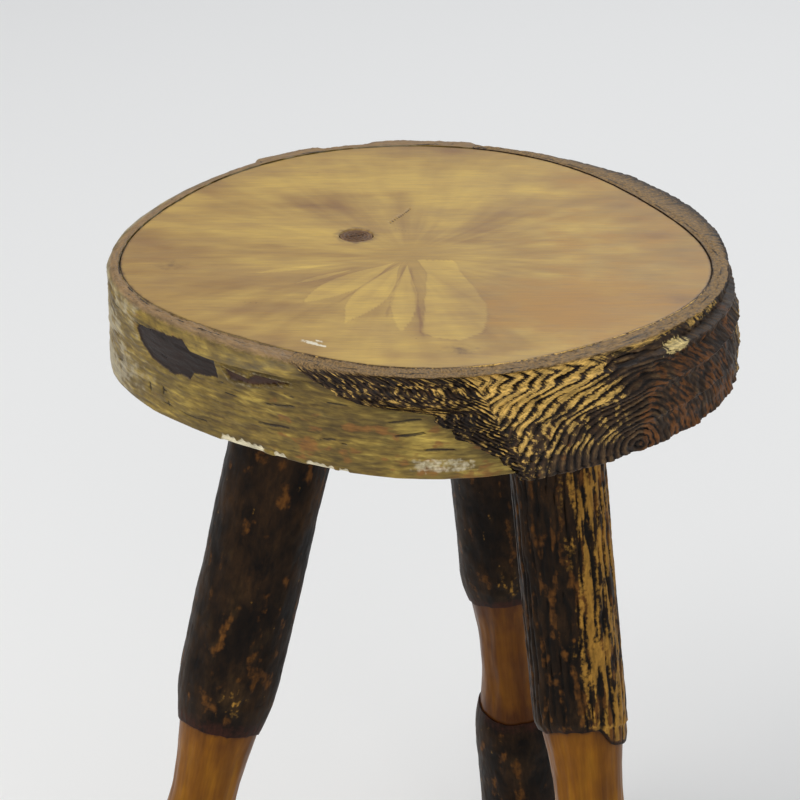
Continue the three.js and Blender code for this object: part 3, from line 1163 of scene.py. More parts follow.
@dataclass
class SmoothBark(BarkShell):
    """The smooth ochre bark, with its lenticels, its dark scar and its chipped foot."""

    seed: int = 8
    scar: Patch = Patch((
        (208, 12), (209, 9), (212, 7), (217.5, 5), (223, 4), (229.5, 10), (230.5, 19), (224.5, 21),
        (223.5, 25), (222, 24), (219, 25.5), (213, 23), (210, 18.5),
    ))
    tear: Patch = Patch((
        (232, 12.5), (237.5, 14.5), (239, 11.5), (247, 11.5), (242, 14.5), (239, 16.5), (233.5, 17.5),
    ))
    lenticels: tuple[Stroke, ...] = (
        Stroke((241, 24.5), (248, 22)), Stroke((239.5, 35), (246.5, 33.5), 0.7),
        Stroke((252.5, 35.5), (256, 34)), Stroke((220.5, 43.5), (227.5, 43.5)),
        Stroke((254, 16.5), (258, 17)), Stroke((265, 22), (270.5, 20.5), 0.8),
        Stroke((266, 29), (271, 27), 0.8), Stroke((271, 35), (276, 35), 0.8),
        Stroke((212, 35.5), (212, 40.5), 0.8), Stroke((216, 34.5), (216, 38.5), 0.7),
        Stroke((217.5, 40.5), (217.5, 43.5), 0.6),
    )
    chips: tuple[tuple[float, float, float], ...] = (
        (236, 5.5, 46.5), (244.5, 1.5, 47.5), (252.5, 3, 47.5), (257, 1, 48.5), (233, 2, 48),
    )                                   # azimuth, half width in degrees, and depth they start at
    spare_lenticels: int = 46           # scattered over the rest of the bark

    node = "seat_bark_smooth"
    finish = SMOOTH_BARK
    slot = "smooth_bark"

    def span(self, seams: tuple[Array, Array]) -> tuple[Array, Array]:
        """From the back seam round the left side to the front seam."""
        return seams[1], seams[0]

    def is_fine(self, azimuth: float) -> bool:
        """The left side and front."""
        return azimuth > 168

    def _marks(self) -> list[Stroke]:
        """The lenticels, the listed ones and scattered ones.

        Returns:
            Marks in millimetres of arc and of depth.
        """
        scale = self.scale
        marks = [
            Stroke((m.start[0] * scale, m.start[1]), (m.end[0] * scale, m.end[1]), m.width)
            for m in self.lenticels
        ]
        draw = np.random.default_rng(self.seed)
        for _ in range(self.spare_lenticels):
            azimuth, depth = draw.uniform(84, 262), draw.uniform(6, 47)
            length, width, tilt = draw.uniform(4, 15), draw.uniform(0.2, 0.42), draw.normal() * 0.5
            if azimuth > 205:
                length, width = length * 0.6, width * 0.6
            begin = (azimuth * scale, depth)
            marks.append(Stroke(begin, (begin[0] + length, depth + tilt), width))
        return marks

    def relief(self, azimuth: Array, depth: Array) -> tuple[Array, dict[str, Array], tuple[Array, Array]]:
        """Low level fibres, lenticels, a scar, a tear and chips.

        Args:
            azimuth: degrees round the log.
            depth: millimetres below the sitting face.

        Returns:
            Relief in millimetres, the finish's masks, and its coordinates round the log and
            down it in millimetres.
        """
        noise = Noise(self.seed)
        arc = azimuth * self.scale
        warp = 1.3 * noise.layered(arc / 9, depth / 5, 2.0)
        fibres = noise.layered(arc / 16, (depth + warp) / 1.7, 4.0)
        broad = noise.layered(arc / 40, depth / 18, 6.0)
        lines = sum(mark.mask(arc, depth + 0.5 * warp * 0.6) for mark in self._marks())
        wobble = 0.5 * noise.layered(arc / 3, depth / 3, 8.0)
        scar = self._area(self.scar, arc, depth, wobble)
        tear = self._area(self.tear, arc, depth, wobble)
        tear_lip = hump(self._inside(self.tear, arc, depth) + wobble, -0.9, 0.7)
        chipped = sum(
            (1 - ease(abs(azimuth - middle), half * 0.75, half))
            * ease(depth + 2.2 * noise.at(arc / 3, 5.0), start, start + 1.0)
            for middle, half, start in self.chips
        )
        peel = band(azimuth + 3 * wobble, 270, 278, 2.5) * band(depth + 3 * wobble, 41, 45.5, 2.0) * 0.6
        chipped = np.clip(chipped, 0, 1)
        curls = 0.6 * np.clip(noise.layered(arc / 20, (depth + warp) / 4, 10.0), 0, 1)
        out = 0.22 * fibres + 0.8 * broad + curls - 0.7 * lines - 0.9 * scar - 0.9 * tear
        out = out + 0.7 * tear_lip - 1.0 * chipped - 0.5 * peel + self._lumps(azimuth, depth)
        tone = 0.46 + 0.35 * broad + 0.6 * fibres + 0.4 * noise.layered(arc / 9, depth / 4, 12.0)
        tone = tone - 0.12 * band(azimuth, 232, 262, 8) + 0.2 * band(azimuth, 264, 290, 6)
        bronze = noise.layered(arc / 14, depth / 6, 14.0)
        warm = band(azimuth, 246, 284, 6) * ease(bronze, 0.0, 0.45) * ease(depth, 18, 26)
        warm = warm * 0.8 + 0.35 * ease(bronze, 0.2, 0.7) + 0.8 * hump(azimuth, 279, 4) * ease(depth, 43, 49)
        lichen = hump(azimuth, 226, 4) * hump(depth, 4.5, 1.8) * ease(bronze, -0.3, 0.3)
        return out, {
            "tone": np.clip(tone, 0, 1),
            "orange": np.clip(warm, 0, 1) * 0.8,
            # painted reflection: pale grey over the left side and back, for reflected light
            "painted_reflection": (1 - ease(azimuth, 192, 226)) * ease(broad + fibres * 0.5, -0.45, 0.35) * 0.8,
            "cream": np.clip(chipped + 0.75 * peel + 0.25 * tear_lip, 0, 1),
            "torn": np.clip(tear + scar + 0.35 * lichen, 0, 1),
            "crack": np.clip(lines + 0.8 * scar, 0, 1),
        }, (arc, depth)

    def _inside(self, patch: Patch, arc: Array, depth: Array) -> Array:
        """How far inside a patch each place is.

        Args:
            patch: its outline is in degrees and millimetres.
            arc: millimetres round the log.
            depth: millimetres below the sitting face.

        Returns:
            Millimetres, negative outside it.
        """
        outline = tuple((azimuth * self.scale, down) for azimuth, down in patch.outline)
        return Patch(outline).depth_inside(arc, depth)

    def _area(self, patch: Patch, arc: Array, depth: Array, wobble: Array) -> Array:
        """Mask of a patch with an uneven edge."""
        return ease(self._inside(patch, arc, depth) + wobble, -0.3, 0.35)

    def _lumps(self, azimuth: Array, depth: Array) -> Array:
        """Scabs of bark that stand out at the back of the top edge.

        Args:
            azimuth: degrees round the log.
            depth: millimetres below the sitting face.

        Returns:
            How far they stand out, in millimetres.
        """
        low = 1 - ease(depth, 4, 13)
        return (3.5 * band(azimuth, 79, 98, 2) + 4.0 * band(azimuth, 111, 123, 2)) * low


# ------------------------------------------------------------------ the seat's wood


def turned_solid(
    name: str, profile: list[tuple[float, float]], matrix: Array, sides: int = 48
) -> bpy.types.Object:
    """A plain turned solid, used as a cutter.

    Args:
        name: the object's name.
        profile: radius and height of each ring, in metres.
        matrix: 4 by 4 placing matrix.
        sides: points round each ring.

    Returns:
        The mesh object.
    """
    angle = np.linspace(0, 2 * np.pi, sides, endpoint=False)
    rings = [np.stack([r * np.cos(angle), r * np.sin(angle), 0 * angle + z], -1) for r, z in profile]
    points = np.array(rings) @ matrix[:3, :3].T + matrix[:3, 3]
    return Skin(name, points, bake_rows=1).build()


@dataclass
class SeatWood:
    """The sanded and varnished slice of log that is sat on."""

    rim: RimShape
    sockets: list[bpy.types.Object] = field(default_factory=list)
    pith: tuple[float, float] = (-4.5, -10.4)          # millimetres from the log's axis
    around: int = 620
    rings: int = 100
    edge_round: float = 0.7
    petals: tuple[tuple[float, float, float, float], ...] = (
        (229, 9.5, 8, 76), (250, 8.5, 8, 86), (268, 6.0, 8, 92), (212, 5, 30, 66), (196, 4, 34, 78),
    )                                   # direction and half width in degrees; start and end from the pith
    fan: Patch = Patch((
        (4, -4), (22, -5), (31, -37), (37, -59), (37, -78), (34, -93), (24, -101), (12, -98), (6, -92),
        (8.5, -21),
    ))
    rays: tuple[tuple[float, float, float], ...] = (
        (262, 16, 70), (274, 20, 92), (240, 14, 60),
    )                                   # direction; start and end from the pith
    light_streaks: tuple[tuple[float, float, float, float], ...] = (
        (68, 76, 35, 8), (84, 0, 26, 9), (73, -44, 26, 10), (16, 42, 12, 30), (-66, -18, 28, 10),
        (-20, 92, 60, 8), (-95, 30, 20, 9),
    )                                   # place from the log's axis, half length and half width
    streak_share: float = 0.22          # how much a streak lightens or darkens
    dark_streaks: tuple[tuple[float, float, float, float], ...] = (
        (34, 8, 18, 5), (70, 41, 28, 6), (-60, 58, 34, 8), (52, -22, 22, 14), (-70, -74, 30, 9),
        (62, -66, 34, 14), (-104, -8, 20, 20), (112, 24, 14, 22), (-30, 72, 30, 6),
    )
    check: tuple[Stroke, ...] = (
        Stroke((-10, 40), (-6, 47), 0.5), Stroke((-6, 47), (-3, 54), 0.45),
        Stroke((-14, 33), (-10, 40), 0.4),
    )
    thin_checks: tuple[Stroke, ...] = (
        Stroke((-14, 28), (-4, 22), 0.4), Stroke((-86, -66), (-70, -69), 0.35),
    )
    scuffs: tuple[Stroke, ...] = (
        Stroke((-54, -111), (-46, -115), 0.9), Stroke((-51, -114), (-42, -118), 0.8),
        Stroke((-47, -111), (-43, -114), 0.6),
    )

    def make(self) -> bpy.types.Object:
        """Builds, bores, dresses and hands over the slice.

        Returns:
            The piece.
        """
        angle = np.linspace(0, 360, self.around, endpoint=False)
        edge = self.rim.wood(angle)[None]
        deep = self.rim.thickness / MM
        turn = np.linspace(0, np.pi / 2, 4)
        side = np.linspace(self.edge_round, deep - self.edge_round, 7)
        out = np.linspace(0.004, 1, self.rings) ** 0.97
        inset = np.concatenate([
            np.zeros(self.rings) + self.edge_round, self.edge_round * (1 - np.sin(turn[1:])),
            np.zeros(6), self.edge_round * (1 - np.cos(turn[1:])), np.full(12, self.edge_round),
        ])
        share = np.concatenate([out, np.ones(3 + 6 + 3), np.linspace(0.95, 0.004, 12)])
        depth = np.concatenate([
            np.zeros(self.rings), self.edge_round * (1 - np.cos(turn[1:])), side[1:],
            deep - self.edge_round * (1 - np.sin(turn[1:])), np.full(12, deep),
        ])
        radius = (edge / MM - inset[:, None]) * share[:, None]
        x = radius * np.cos(np.radians(angle))[None]
        y = radius * np.sin(np.radians(angle))[None]
        noise = Noise(3)
        dish = 0.16 * noise.layered(x / 30, y / 18) + 0.04 * noise.layered(x / 9, y / 1.6, 4.0)
        dish = dish - 0.6 * sum(mark.mask(x, y) for mark in self.check) - 0.15 * ease(share[:, None], 0.9, 1)
        height = -depth[:, None] + (dish - 0.2) * (depth[:, None] < self.edge_round * 0.9)
        ax, ay = self.rim.axis
        points = np.stack([ax + x * MM, ay + y * MM, self.rim.top + height * MM], -1)
        piece = Skin("seat_wood_piece", points).build()
        cut_away(piece, self.sockets)
        self._dress(piece)
        hand_over(piece, SEAT_WOOD, ["seat_wood"])
        return piece

    def _dress(self, piece: bpy.types.Object) -> None:
        """Writes the grain's pattern and the flat bake map.

        Args:
            piece: the bored slice.
        """
        spots = vertices_of(piece.data)
        x, y = ((spots[:, :2] - self.rim.axis) / MM).T
        noise = Noise(29)
        edge = self.rim.wood(np.degrees(np.arctan2(y, x))) / MM - np.hypot(x, y)
        tone, leaf = self._tone(x, y, edge, noise)
        top = spots[:, 2] > self.rim.top - 3 * MM
        masks = {
            "tone": tone,
            "warm": self._warm(x, y, leaf, noise),
            "stain": self._stain(x, y, edge, noise) * top,
            "scuff": sum(mark.mask(x, y) for mark in self.scuffs) * top,
            "crack": self._cracks(x, y, edge) * top,
        }
        store(piece, masks, np.stack([x * MM, y * MM, spots[:, 2]], -1))
        self._flat_map(piece.data, spots)

    def _tone(self, x: Array, y: Array, edge: Array, noise: Noise) -> tuple[Array, Array]:
        """Light and dark wood: rays and petals round the pith, streaks and a darker rim.

        Args:
            x, y: millimetres from the log's axis.
            edge: millimetres in from the wood's edge.
            noise: the slice's noise.

        Returns:
            The tone, and a mask of the pale petals.
        """
        px, py = x - self.pith[0], y - self.pith[1]
        far, way = np.hypot(px, py), np.degrees(np.arctan2(py, px)) % 360
        wx, wy = 2.2 * noise.layered(x / 16, y / 16, 1.0), 2.2 * noise.layered(x / 16, y / 16, 5.0)
        tone = 0.46 + 0.26 * noise.layered(x / 56, y / 34, 2.0) + 0.1 * noise.layered(x / 18, y / 7, 8.0)
        ex, ey = px / np.maximum(far, 1e-6), py / np.maximum(far, 1e-6)
        spokes = noise.layered(ex * 3.4, ey * 3.4, far / 80)
        rips = noise.layered(ex * 11, ey * 11, far / 45)
        tone = tone + (0.34 * spokes + 0.14 * rips) * ease(far, 8, 34)
        leaf = self.fan.mask(px + wx * 0.6, py + wy * 0.6, 0.9)
        for toward, half, start, end in self.petals:
            along = np.clip((far + wy - start) / (end - start), 0, 1)
            width = math.radians(half) * (end - start) * np.sin(np.pi * along**1.25) * 0.75
            off = abs(self._aside(way, toward, far)) + 0.35 * wx
            leaf = np.maximum(leaf, ease(width - off, -0.4, 0.7) * (far > start) * (far < end))
        tone = tone + 0.3 * leaf + 0.16 * hump(way, 74, 15) * band(far, 70, 115, 12)
        for sign, streaks in ((1, self.light_streaks), (-1, self.dark_streaks)):
            for cx, cy, long, wide in streaks:
                across = ((x + wx * 2 - cx) / long) ** 2
                tone = tone + sign * self.streak_share * np.exp(-across - ((y + wy * 1.5 - cy) / wide) ** 2)
        outline = hump(leaf, 0.5, 0.3) * (py < 4)
        lines = sum(
            hump(self._aside(way, toward, far) + wx * 0.6, 0, 0.7) * band(far, start, end, 8)
            for toward, start, end in self.rays
        )
        tone = tone - 0.26 * outline - 0.26 * lines - 0.12 * hump(far, 0, 16)
        gold_rim = band(np.degrees(np.arctan2(y, x)) % 360, 262, 318, 14) * hump(edge, 4, 5)
        return tone - 0.14 * hump(edge, 0, 22) * (1 - gold_rim) + 0.2 * gold_rim, leaf

    def _aside(self, way: Array, toward: float, far: Array) -> Array:
        """Millimetres of arc round the pith from a direction to each place."""
        return ((way - toward + 180) % 360 - 180) * np.pi / 180 * far

    def _warm(self, x: Array, y: Array, leaf: Array, noise: Noise) -> Array:
        """Orange wood at the front right.

        Args:
            x, y: millimetres from the log's axis.
            leaf: mask of the pale petals, which stay pale.
            noise: the slice's noise.

        Returns:
            The mask.
        """
        warm = 0.8 * np.exp(-(((x - 66) / 46) ** 2) - ((y + 74) / 30) ** 2) + 0.4 * ease(x, 10, 90)
        warm = warm + 0.25 * noise.layered(x / 20, y / 12, 17.0) * ease(x, -40, 40)
        return np.clip(warm, 0, 1) * (1 - 0.6 * leaf)

    def _stain(self, x: Array, y: Array, edge: Array, noise: Noise) -> Array:
        """Specks, spots, a halo round the knot and grime along the edge.

        Args:
            x, y: millimetres from the log's axis.
            edge: millimetres in from the wood's edge.
            noise: the slice's noise.

        Returns:
            The mask.
        """
        specks = ease(noise.layered(x / 2.6, y / 1.5, 11.0), 0.62, 0.85)
        specks = specks * ease(noise.layered(x / 30, y / 30, 13.0), 0, 0.4)
        front = hump(y, -112, 26)
        stain = 0.55 * hump(np.hypot(x - 19, (y + 122) * 1.5), 0, 9) + specks * (0.35 + 0.5 * front)
        halo = 0.5 * hump(np.hypot(x - KNOT_FROM_AXIS[0], y - KNOT_FROM_AXIS[1]), 9, 2.6)
        return stain + halo + 0.4 * hump(np.hypot(x + 118, y + 22), 0, 9) + 0.5 * hump(edge, 0, 1.6)

    def _cracks(self, x: Array, y: Array, edge: Array) -> Array:
        """Drying checks, and the gap along the bark.

        Args:
            x, y: millimetres from the log's axis.
            edge: millimetres in from the wood's edge.

        Returns:
            The mask.
        """
        crack = sum(mark.mask(x, y) for mark in self.check) + 0.8 * hump(edge, 0, 0.7)
        return crack + 0.5 * sum(mark.mask(x, y) for mark in self.thin_checks)

    def _flat_map(self, mesh: bpy.types.Mesh, spots: Array) -> None:
        """Lays the top out flat and large on the bake map, the underside small, the side in a strip.

        Args:
            mesh: the slice's mesh.
            spots: its vertices.
        """
        loops = np.zeros(len(mesh.loops), int)
        mesh.loops.foreach_get("vertex_index", loops)
        sizes = np.zeros(len(mesh.polygons), int)
        mesh.polygons.foreach_get("loop_total", sizes)
        normals = np.zeros(len(mesh.polygons) * 3)
        mesh.polygons.foreach_get("normal", normals)
        up = np.repeat(normals.reshape(-1, 3)[:, 2], sizes)
        low, size = spots.min(0), np.ptp(spots, 0).max()
        flat = (spots[loops, :2] - low[:2]) / size
        around = np.degrees(np.arctan2(*(spots[loops, :2] - self.rim.axis).T[::-1])) % 360 / 360
        down = (self.rim.top - spots[loops, 2]) / self.rim.thickness
        side = np.stack([0.01 + 0.97 * around, 0.72 + 0.26 * down], -1)
        under = np.where(up[:, None] < -0.5, [0.7, 0.01] + 0.28 * flat, side)
        uv = np.where(up[:, None] > 0.5, 0.01 + 0.68 * flat, under)
        layer = mesh.uv_layers.get("OFBake") or mesh.uv_layers.new(name="OFBake")
        layer.uv.foreach_set("vector", uv.astype(np.float32).ravel())


@dataclass
class Knot:
    """The dead branch stub that shows in the sitting face."""

    rim: RimShape
    sink: float = 0.5
    fit: float = 0.3
    sides: int = 96
    rings: int = 34
    splits: tuple[Stroke, ...] = (
        Stroke((-5.5, -1.2), (1.0, 0.6), 0.55), Stroke((0.5, 0.3), (4.6, 2.4), 0.4),
    )

    def _size(self) -> tuple[Vector, float, float, float, float]:
        """Measures the knot in the frame.

        Returns:
            Centre, radius at the top, radius at the tip, top and bottom, in metres.
        """
        low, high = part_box("seat_knot")
        points = vertices_of(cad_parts["seat_knot"].data)
        centre = (low + high) / 2
        tip = points[points[:, 2] < low.z + MM]
        tip_radius = np.hypot(tip[:, 0] - centre.x, tip[:, 1] - centre.y).max()
        return centre, (high.x - low.x) / 2, tip_radius, high.z, low.z

    def pocket(self) -> bpy.types.Object:
        """The cutter that makes room for the knot.

        Returns:
            The cutter, a little larger than the knot all round.
        """
        centre, radius, tip, top, foot = self._size()
        gap, over = self.fit * MM, 2 * MM
        matrix = np.eye(4)
        matrix[:2, 3] = centre.x, centre.y
        profile = [(tip + gap, foot - gap), (radius + gap, top), (radius + gap, top + over)]
        return turned_solid("pocket", profile, matrix)

    def make(self) -> bpy.types.Object:
        """Builds, dresses and hands over the knot.

        Returns:
            The piece.
        """
        centre, radius, tip, top, foot = self._size()
        angle = np.linspace(0, 2 * np.pi, self.sides, endpoint=False)[None]
        out = [np.linspace(0.03, 1, self.rings), np.ones(8), np.linspace(0.9, 0.05, 5)]
        out = np.concatenate(out)[:, None]
        down = np.concatenate([np.zeros(self.rings), np.linspace(0.12, 1, 8), np.ones(5)])[:, None]
        span = radius + (tip - radius) * down
        noise = Noise(13)
        reach = span * out / MM
        x, y = reach * np.cos(angle), reach * np.sin(angle)
        ripple = 0.18 * np.sin(reach * 3.4 + 1.5 * noise.layered(x / 4, y / 4))
        ripple = ripple + 0.3 * noise.layered(x / 2, y / 2, 3.0)
        split = sum(mark.mask(x, y) for mark in self.splits)
        sunk = -self.sink + ripple - 0.8 * split - 0.5 * hump(reach, radius / MM, 0.9)
        height = top + (sunk * MM) * (down == 0) - (top - foot) * down
        height = np.minimum(height, top - 0.05 * MM)
        points = np.stack([centre.x + x * MM, centre.y + y * MM, height], -1)
        piece = Skin("seat_knot_piece", points).build()
        tone = np.clip(0.42 + 0.8 * ripple + 0.3 * ease(reach, 4, 8), 0, 1)
        crack = np.clip(split + 0.8 * hump(reach, radius / MM, 0.6), 0, 1) * (down == 0)
        store(piece, {"tone": tone, "crack": crack}, points - np.array([centre.x, centre.y, 0]))
        hand_over(piece, KNOT_WOOD, ["seat_knot"])
        return piece


# ------------------------------------------------------------------ the legs


class Skinned(Enum):
    """What a pole's bark is like."""

    SLEEK = "sleek"
    FISSURED = "fissured"


@dataclass
class Leg:
    """A round pole: its wood, and a sleeve of bark above and below the carved waist."""

    name: str
    kind: Skinned
    seed: int
    bevel: float = 24.0                 # how long the bark takes to thin towards the waist, mm
    lip: float = 0.8                    # bark left at its thin end
    front_rise: float = 3.0             # how much higher the upper bark ends at the front
    tongue: float = 0.0                 # a strip of bark left hanging lower on the right side
    blend: float = 30.0                 # length over which the wood runs down to the waist
    carve: float = 16.0                 # how far the carving runs back under the bark's end
    lean_in: float = 0.0                # painted shade: how much darker the waist's wood is drawn, for the seat's shadow on it
    painted_shade: float = 0.0                   # how much darker the waist's wood is
    wander: float = 1.0                 # unevenness of the bark's ends
    fit: float = 0.3
    trim: float = 60.0                  # length over which an end turns level
    around: int = 150
    step: float = 1.1

    def __post_init__(self) -> None:
        """Measures the pole in the frame's nodes."""
        core = vertices_of(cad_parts[f"{self.name}_core"].data)
        upper = vertices_of(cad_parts[f"{self.name}_upper_bark"].data)
        lower = vertices_of(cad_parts[f"{self.name}_lower_bark"].data)
        foot = core[core[:, 2] < 0.1 * MM]
        self.foot = (foot.min(0) + foot.max(0)) / 2
        self.shoulder = upper[:, 2].max()
        hip = upper[upper[:, 2] > self.shoulder - 0.1 * MM]
        rise = (hip.min(0) + hip.max(0)) / 2 - self.foot
        self.axis = rise / np.linalg.norm(rise)
        front = np.array([0, -1.0, 0])
        front -= self.axis * (front @ self.axis)
        self.front = front / np.linalg.norm(front)
        self.right = np.cross(self.axis, self.front)
        self.length = self.shoulder / self.axis[2] / MM
        core_run, core_radius = self._along(core)
        upper_run, upper_radius = self._along(upper)
        lower_run, _ = self._along(lower)
        self.radius = float(upper_radius.max())
        self.wood_radius = float(core_radius[core[:, 2] < self.shoulder - MM].max())
        self.sleeve_radius = float(upper_radius.min())
        self.waist_high, self.waist_low = float(upper_run.min()), float(lower_run.max())
        self.peel = float(np.median(lower_run[lower_run < lower_run.min() + 2]))
        middle = abs(core_run - (self.waist_high + self.waist_low) / 2) < 20
        self.waist_radius = float(core_radius[middle].min())
        tenon = core[:, 2] > self.shoulder + 5 * MM
        self.tenon_radius = float(core_radius[tenon].max())
        self.tenon_end = float(core_run.max())
        self.noise = Noise(self.seed)

    def _along(self, points: Array) -> tuple[Array, Array]:
        """Where points are along the pole.

        Args:
            points: places in metres.

        Returns:
            Distance up the pole and distance from its axis, in millimetres.
        """
        away = (points - self.foot) / MM
        run = away @ self.axis
        return run, np.linalg.norm(away - run[:, None] * self.axis, axis=1)

    def matrix(self) -> Array:
        """Places things drawn on the pole's own axes.

        Returns:
            A 4 by 4 matrix.
        """
        made = np.eye(4)
        made[:3, 0], made[:3, 1], made[:3, 2], made[:3, 3] = self.front, self.right, self.axis, self.foot
        return made

    def socket(self) -> bpy.types.Object:
        """The cutter that bores the seat for this pole's tenon.

        Returns:
            The cutter, a little wider than the tenon.
        """
        radius = (self.tenon_radius + self.fit) * MM
        profile = [(radius, (self.length - 30) * MM), (radius, (self.tenon_end + 1) * MM)]
        return turned_solid(f"{self.name}_socket", profile, self.matrix())

    def _place(self, turn: Array, run: Array, radius: Array) -> Array:
        """Points on the pole; the ends are trimmed level with the floor and the seat.

        Args:
            turn: angle round the pole, 0 at the front and 90 degrees at the right.
            run: millimetres up the pole.
            radius: millimetres from its axis.

        Returns:
            Points in metres.
        """
        tilt = (np.cos(turn) * self.front[2] + np.sin(turn) * self.right[2]) / self.axis[2]
        level = -radius * tilt
        under_seat = ease(run, self.length - self.trim, self.length) * (run <= self.length + 1e-6)
        run = run + level * ((1 - ease(run, 0, self.trim)) + under_seat)
        out = np.cos(turn)[..., None] * self.front + np.sin(turn)[..., None] * self.right
        return self.foot + (run[..., None] * self.axis + radius[..., None] * out) * MM

    def _upper_end(self, turn: Array) -> Array:
        """Where the upper bark ends.

        Args:
            turn: angle round the pole.

        Returns:
            Millimetres up the pole.
        """
        noise = self.noise.layered(np.cos(turn) * 2.2, np.sin(turn) * 2.2, 3.0)
        rise = self.front_rise * np.cos(turn)
        hang = self.tongue * ease(np.sin(turn), 0.35, 0.75)
        return self.waist_high + rise - hang + self.wander * 1.4 * noise + 1.0

    def _lower_end(self, turn: Array) -> Array:
        """Where the lower bark ends at the waist.

        Args:
            turn: angle round the pole.

        Returns:
            Millimetres up the pole.
        """
        noise = self.noise.layered(np.cos(turn) * 2.0, np.sin(turn) * 2.0, 8.0)
        return self.waist_low - 1.0 - 1.5 * np.cos(turn - 0.6) + self.wander * 1.2 * noise

    def _wood(self, turn: Array, run: Array) -> Array:
        """Radius of the wood, carved at the waist and worn at the foot.

        Args:
            turn: angle round the pole.
            run: millimetres up it.

        Returns:
            Millimetres.
        """
        high = ease(run, self._upper_end(turn) - self.blend, self._upper_end(turn) + self.carve)
        low = 1 - ease(run, self._lower_end(turn) - self.carve, self._lower_end(turn) + self.blend)
        full = np.maximum(high, low)
        facet = abs(np.sin(turn * 4.5 + 1.2 * self.noise.at(run / 60, turn * 0 + 2.0)))
        chops = self.noise.layered(np.cos(turn) * 3, np.sin(turn) * 3, run / 26)
        waist = self.waist_radius + 0.5 * facet + 0.5 * chops + self.lean_in * 0.8 * np.sin(turn) - 0.2
        radius = waist + (self.wood_radius - waist) * full
        foot_wear = 2.0 * (1 - ease(run, -2, self.peel)) + 0.8 * hump(run, 0, 1.6)
        return radius - foot_wear

    def _relief(self, turn: Array, run: Array) -> tuple[Array, dict[str, Array]]:
        """Relief of the bark in millimetres, and its masks.

        Args:
            turn: angle round the pole.
            run: millimetres up it.

        Returns:
            Relief and masks.
        """
        cx, cy = np.cos(turn) * self.radius, np.sin(turn) * self.radius
        noise = self.noise
        broad = noise.layered(cx / 14, cy / 14, run / 30)
        fine = noise.layered(cx / 2.6, cy / 2.6, run / 6)
        if self.kind is Skinned.SLEEK:
            pits = ease(noise.layered(cx / 3.5, cy / 3.5, run / 4), 0.45, 0.7)
            out = 0.65 * broad + 0.16 * fine - 0.3 * pits
            scar_at = self.waist_high + 25
            scar = hump(turn, 0.12, 0.22) * hump(run, scar_at, 8)
            dent = hump(turn, 0.42, 0.13) * hump(run, scar_at, 5)
            out = out + 1.1 * scar * (0.6 + fine) - 0.9 * dent
            tone = 0.36 + 0.5 * broad + 0.22 * fine + 0.3 * scar
            orange = ease(noise.layered(cx / 7, cy / 7, run / 16, 4), 0.05, 0.75) * 0.7
            flakes = ease(noise.layered(cx / 4, cy / 4, run / 9), 0.4, 0.9)
            gold = scar * ease(fine, -0.2, 0.3) * 0.75 + flakes * 0.45
            return out, {"tone": tone, "orange": orange, "gold": gold, "crack": 0.6 * pits}
        cells = turn / (2 * np.pi) * 30 + 0.75 * noise.layered(cx / 9, cy / 9, run / 34)
        cell = cells - np.floor(cells)
        groove = hump(cell, 0.5, 0.2) * ease(noise.layered(cx / 4, cy / 4, run / 18), -0.5, 0.1)
        out = 0.5 * broad - 0.95 * groove + 0.26 * fine
        right = ease(np.sin(turn), -0.2, 0.45) * ease(np.cos(turn), -0.9, -0.2)
        streak = noise.layered(cx / 3.2, cy / 3.2, run / 22)
        gold = ease(streak, -0.35, 0.15) * (0.1 + 0.9 * right) * (1 - groove)
        orange = ease(noise.layered(cx / 5, cy / 5, run / 15, 4), -0.05, 0.4) * (0.5 + 0.5 * right)
        # Painted shadow of the seat: gold and orange fade out over the bark's top 22 mm, so the bark is
        # drawn dark just under the seat.
        under = 1 - ease(run, self.length - 22, self.length - 6)
        tone = 0.42 + 0.35 * broad + 0.25 * fine - 0.4 * groove
        gold = gold * under * 0.9
        return out, {"tone": tone, "orange": orange * under, "gold": gold, "crack": groove * 0.8}

    def _sleeve(self, part: str, start: float) -> bpy.types.Object:
        """One sleeve of bark.

        Args:
            part: "upper" or "lower".
            start: where its far end is, in millimetres up the pole.

        Returns:
            The piece.
        """
        turn = np.linspace(-np.pi, np.pi, self.around, endpoint=False)[None]
        end = self._upper_end(turn) if part == "upper" else self._lower_end(turn)
        count = int(abs(start - float(end.mean())) / self.step)
        share = np.concatenate([np.linspace(0, 1, count), np.linspace(1, 0, 24)])[:, None]
        outer = (np.arange(len(share)) < count)[:, None]
        run = end + (start - end) * share
        relief, masks = self._relief(turn, run)
        from_end = abs(run - end)
        taper = np.clip(from_end / self.bevel, 0, 1) ** 0.85
        full = self.radius - self.sleeve_radius
        hung = self.tongue * ease(np.sin(turn), 0.35, 0.75) if part == "upper" else 0.0
        taper = taper * (1 - 0.6 * (from_end < hung + 1) * (hung > 2))
        thick = self.lip + (full - self.lip) * taper + relief * (0.25 + 0.75 * taper)
        far = abs(run - start)
        worn = 0.7 * hump(far, 0, 1.2) * (1.0 if part == "lower" else 0.0)
        thick = np.maximum(thick - worn, 0.35)
        radius = np.where(outer, self.sleeve_radius + thick, self.sleeve_radius + 0 * thick)
        bed = self._wood(turn, run) + self.fit
        radius = np.minimum(radius, np.where(outer, bed + thick, bed))
        bare = (1 - ease(from_end, 2.0, self.bevel * 0.42)) * (0.55 + 0.45 * ease(relief, -0.4, 0.4))
        masks["cut"] = np.maximum(bare, 1.0 * ~outer) * 0.9
        masks["gold"] = masks["gold"] * ease(from_end, 2, self.bevel * 0.5)
        masks["orange"] = masks["orange"] * ease(from_end, 1, self.bevel * 0.4)
        if self.kind is Skinned.FISSURED:
            rim = 0.9 * hump(from_end, hung + 1.2, 1.1) * ease(np.sin(turn), 0.1, 0.5)
            masks["gold"] = masks["gold"] + rim
            masks["cut"] = masks["cut"] * 0.6
        points = self._place(turn + 0 * run, run, radius)
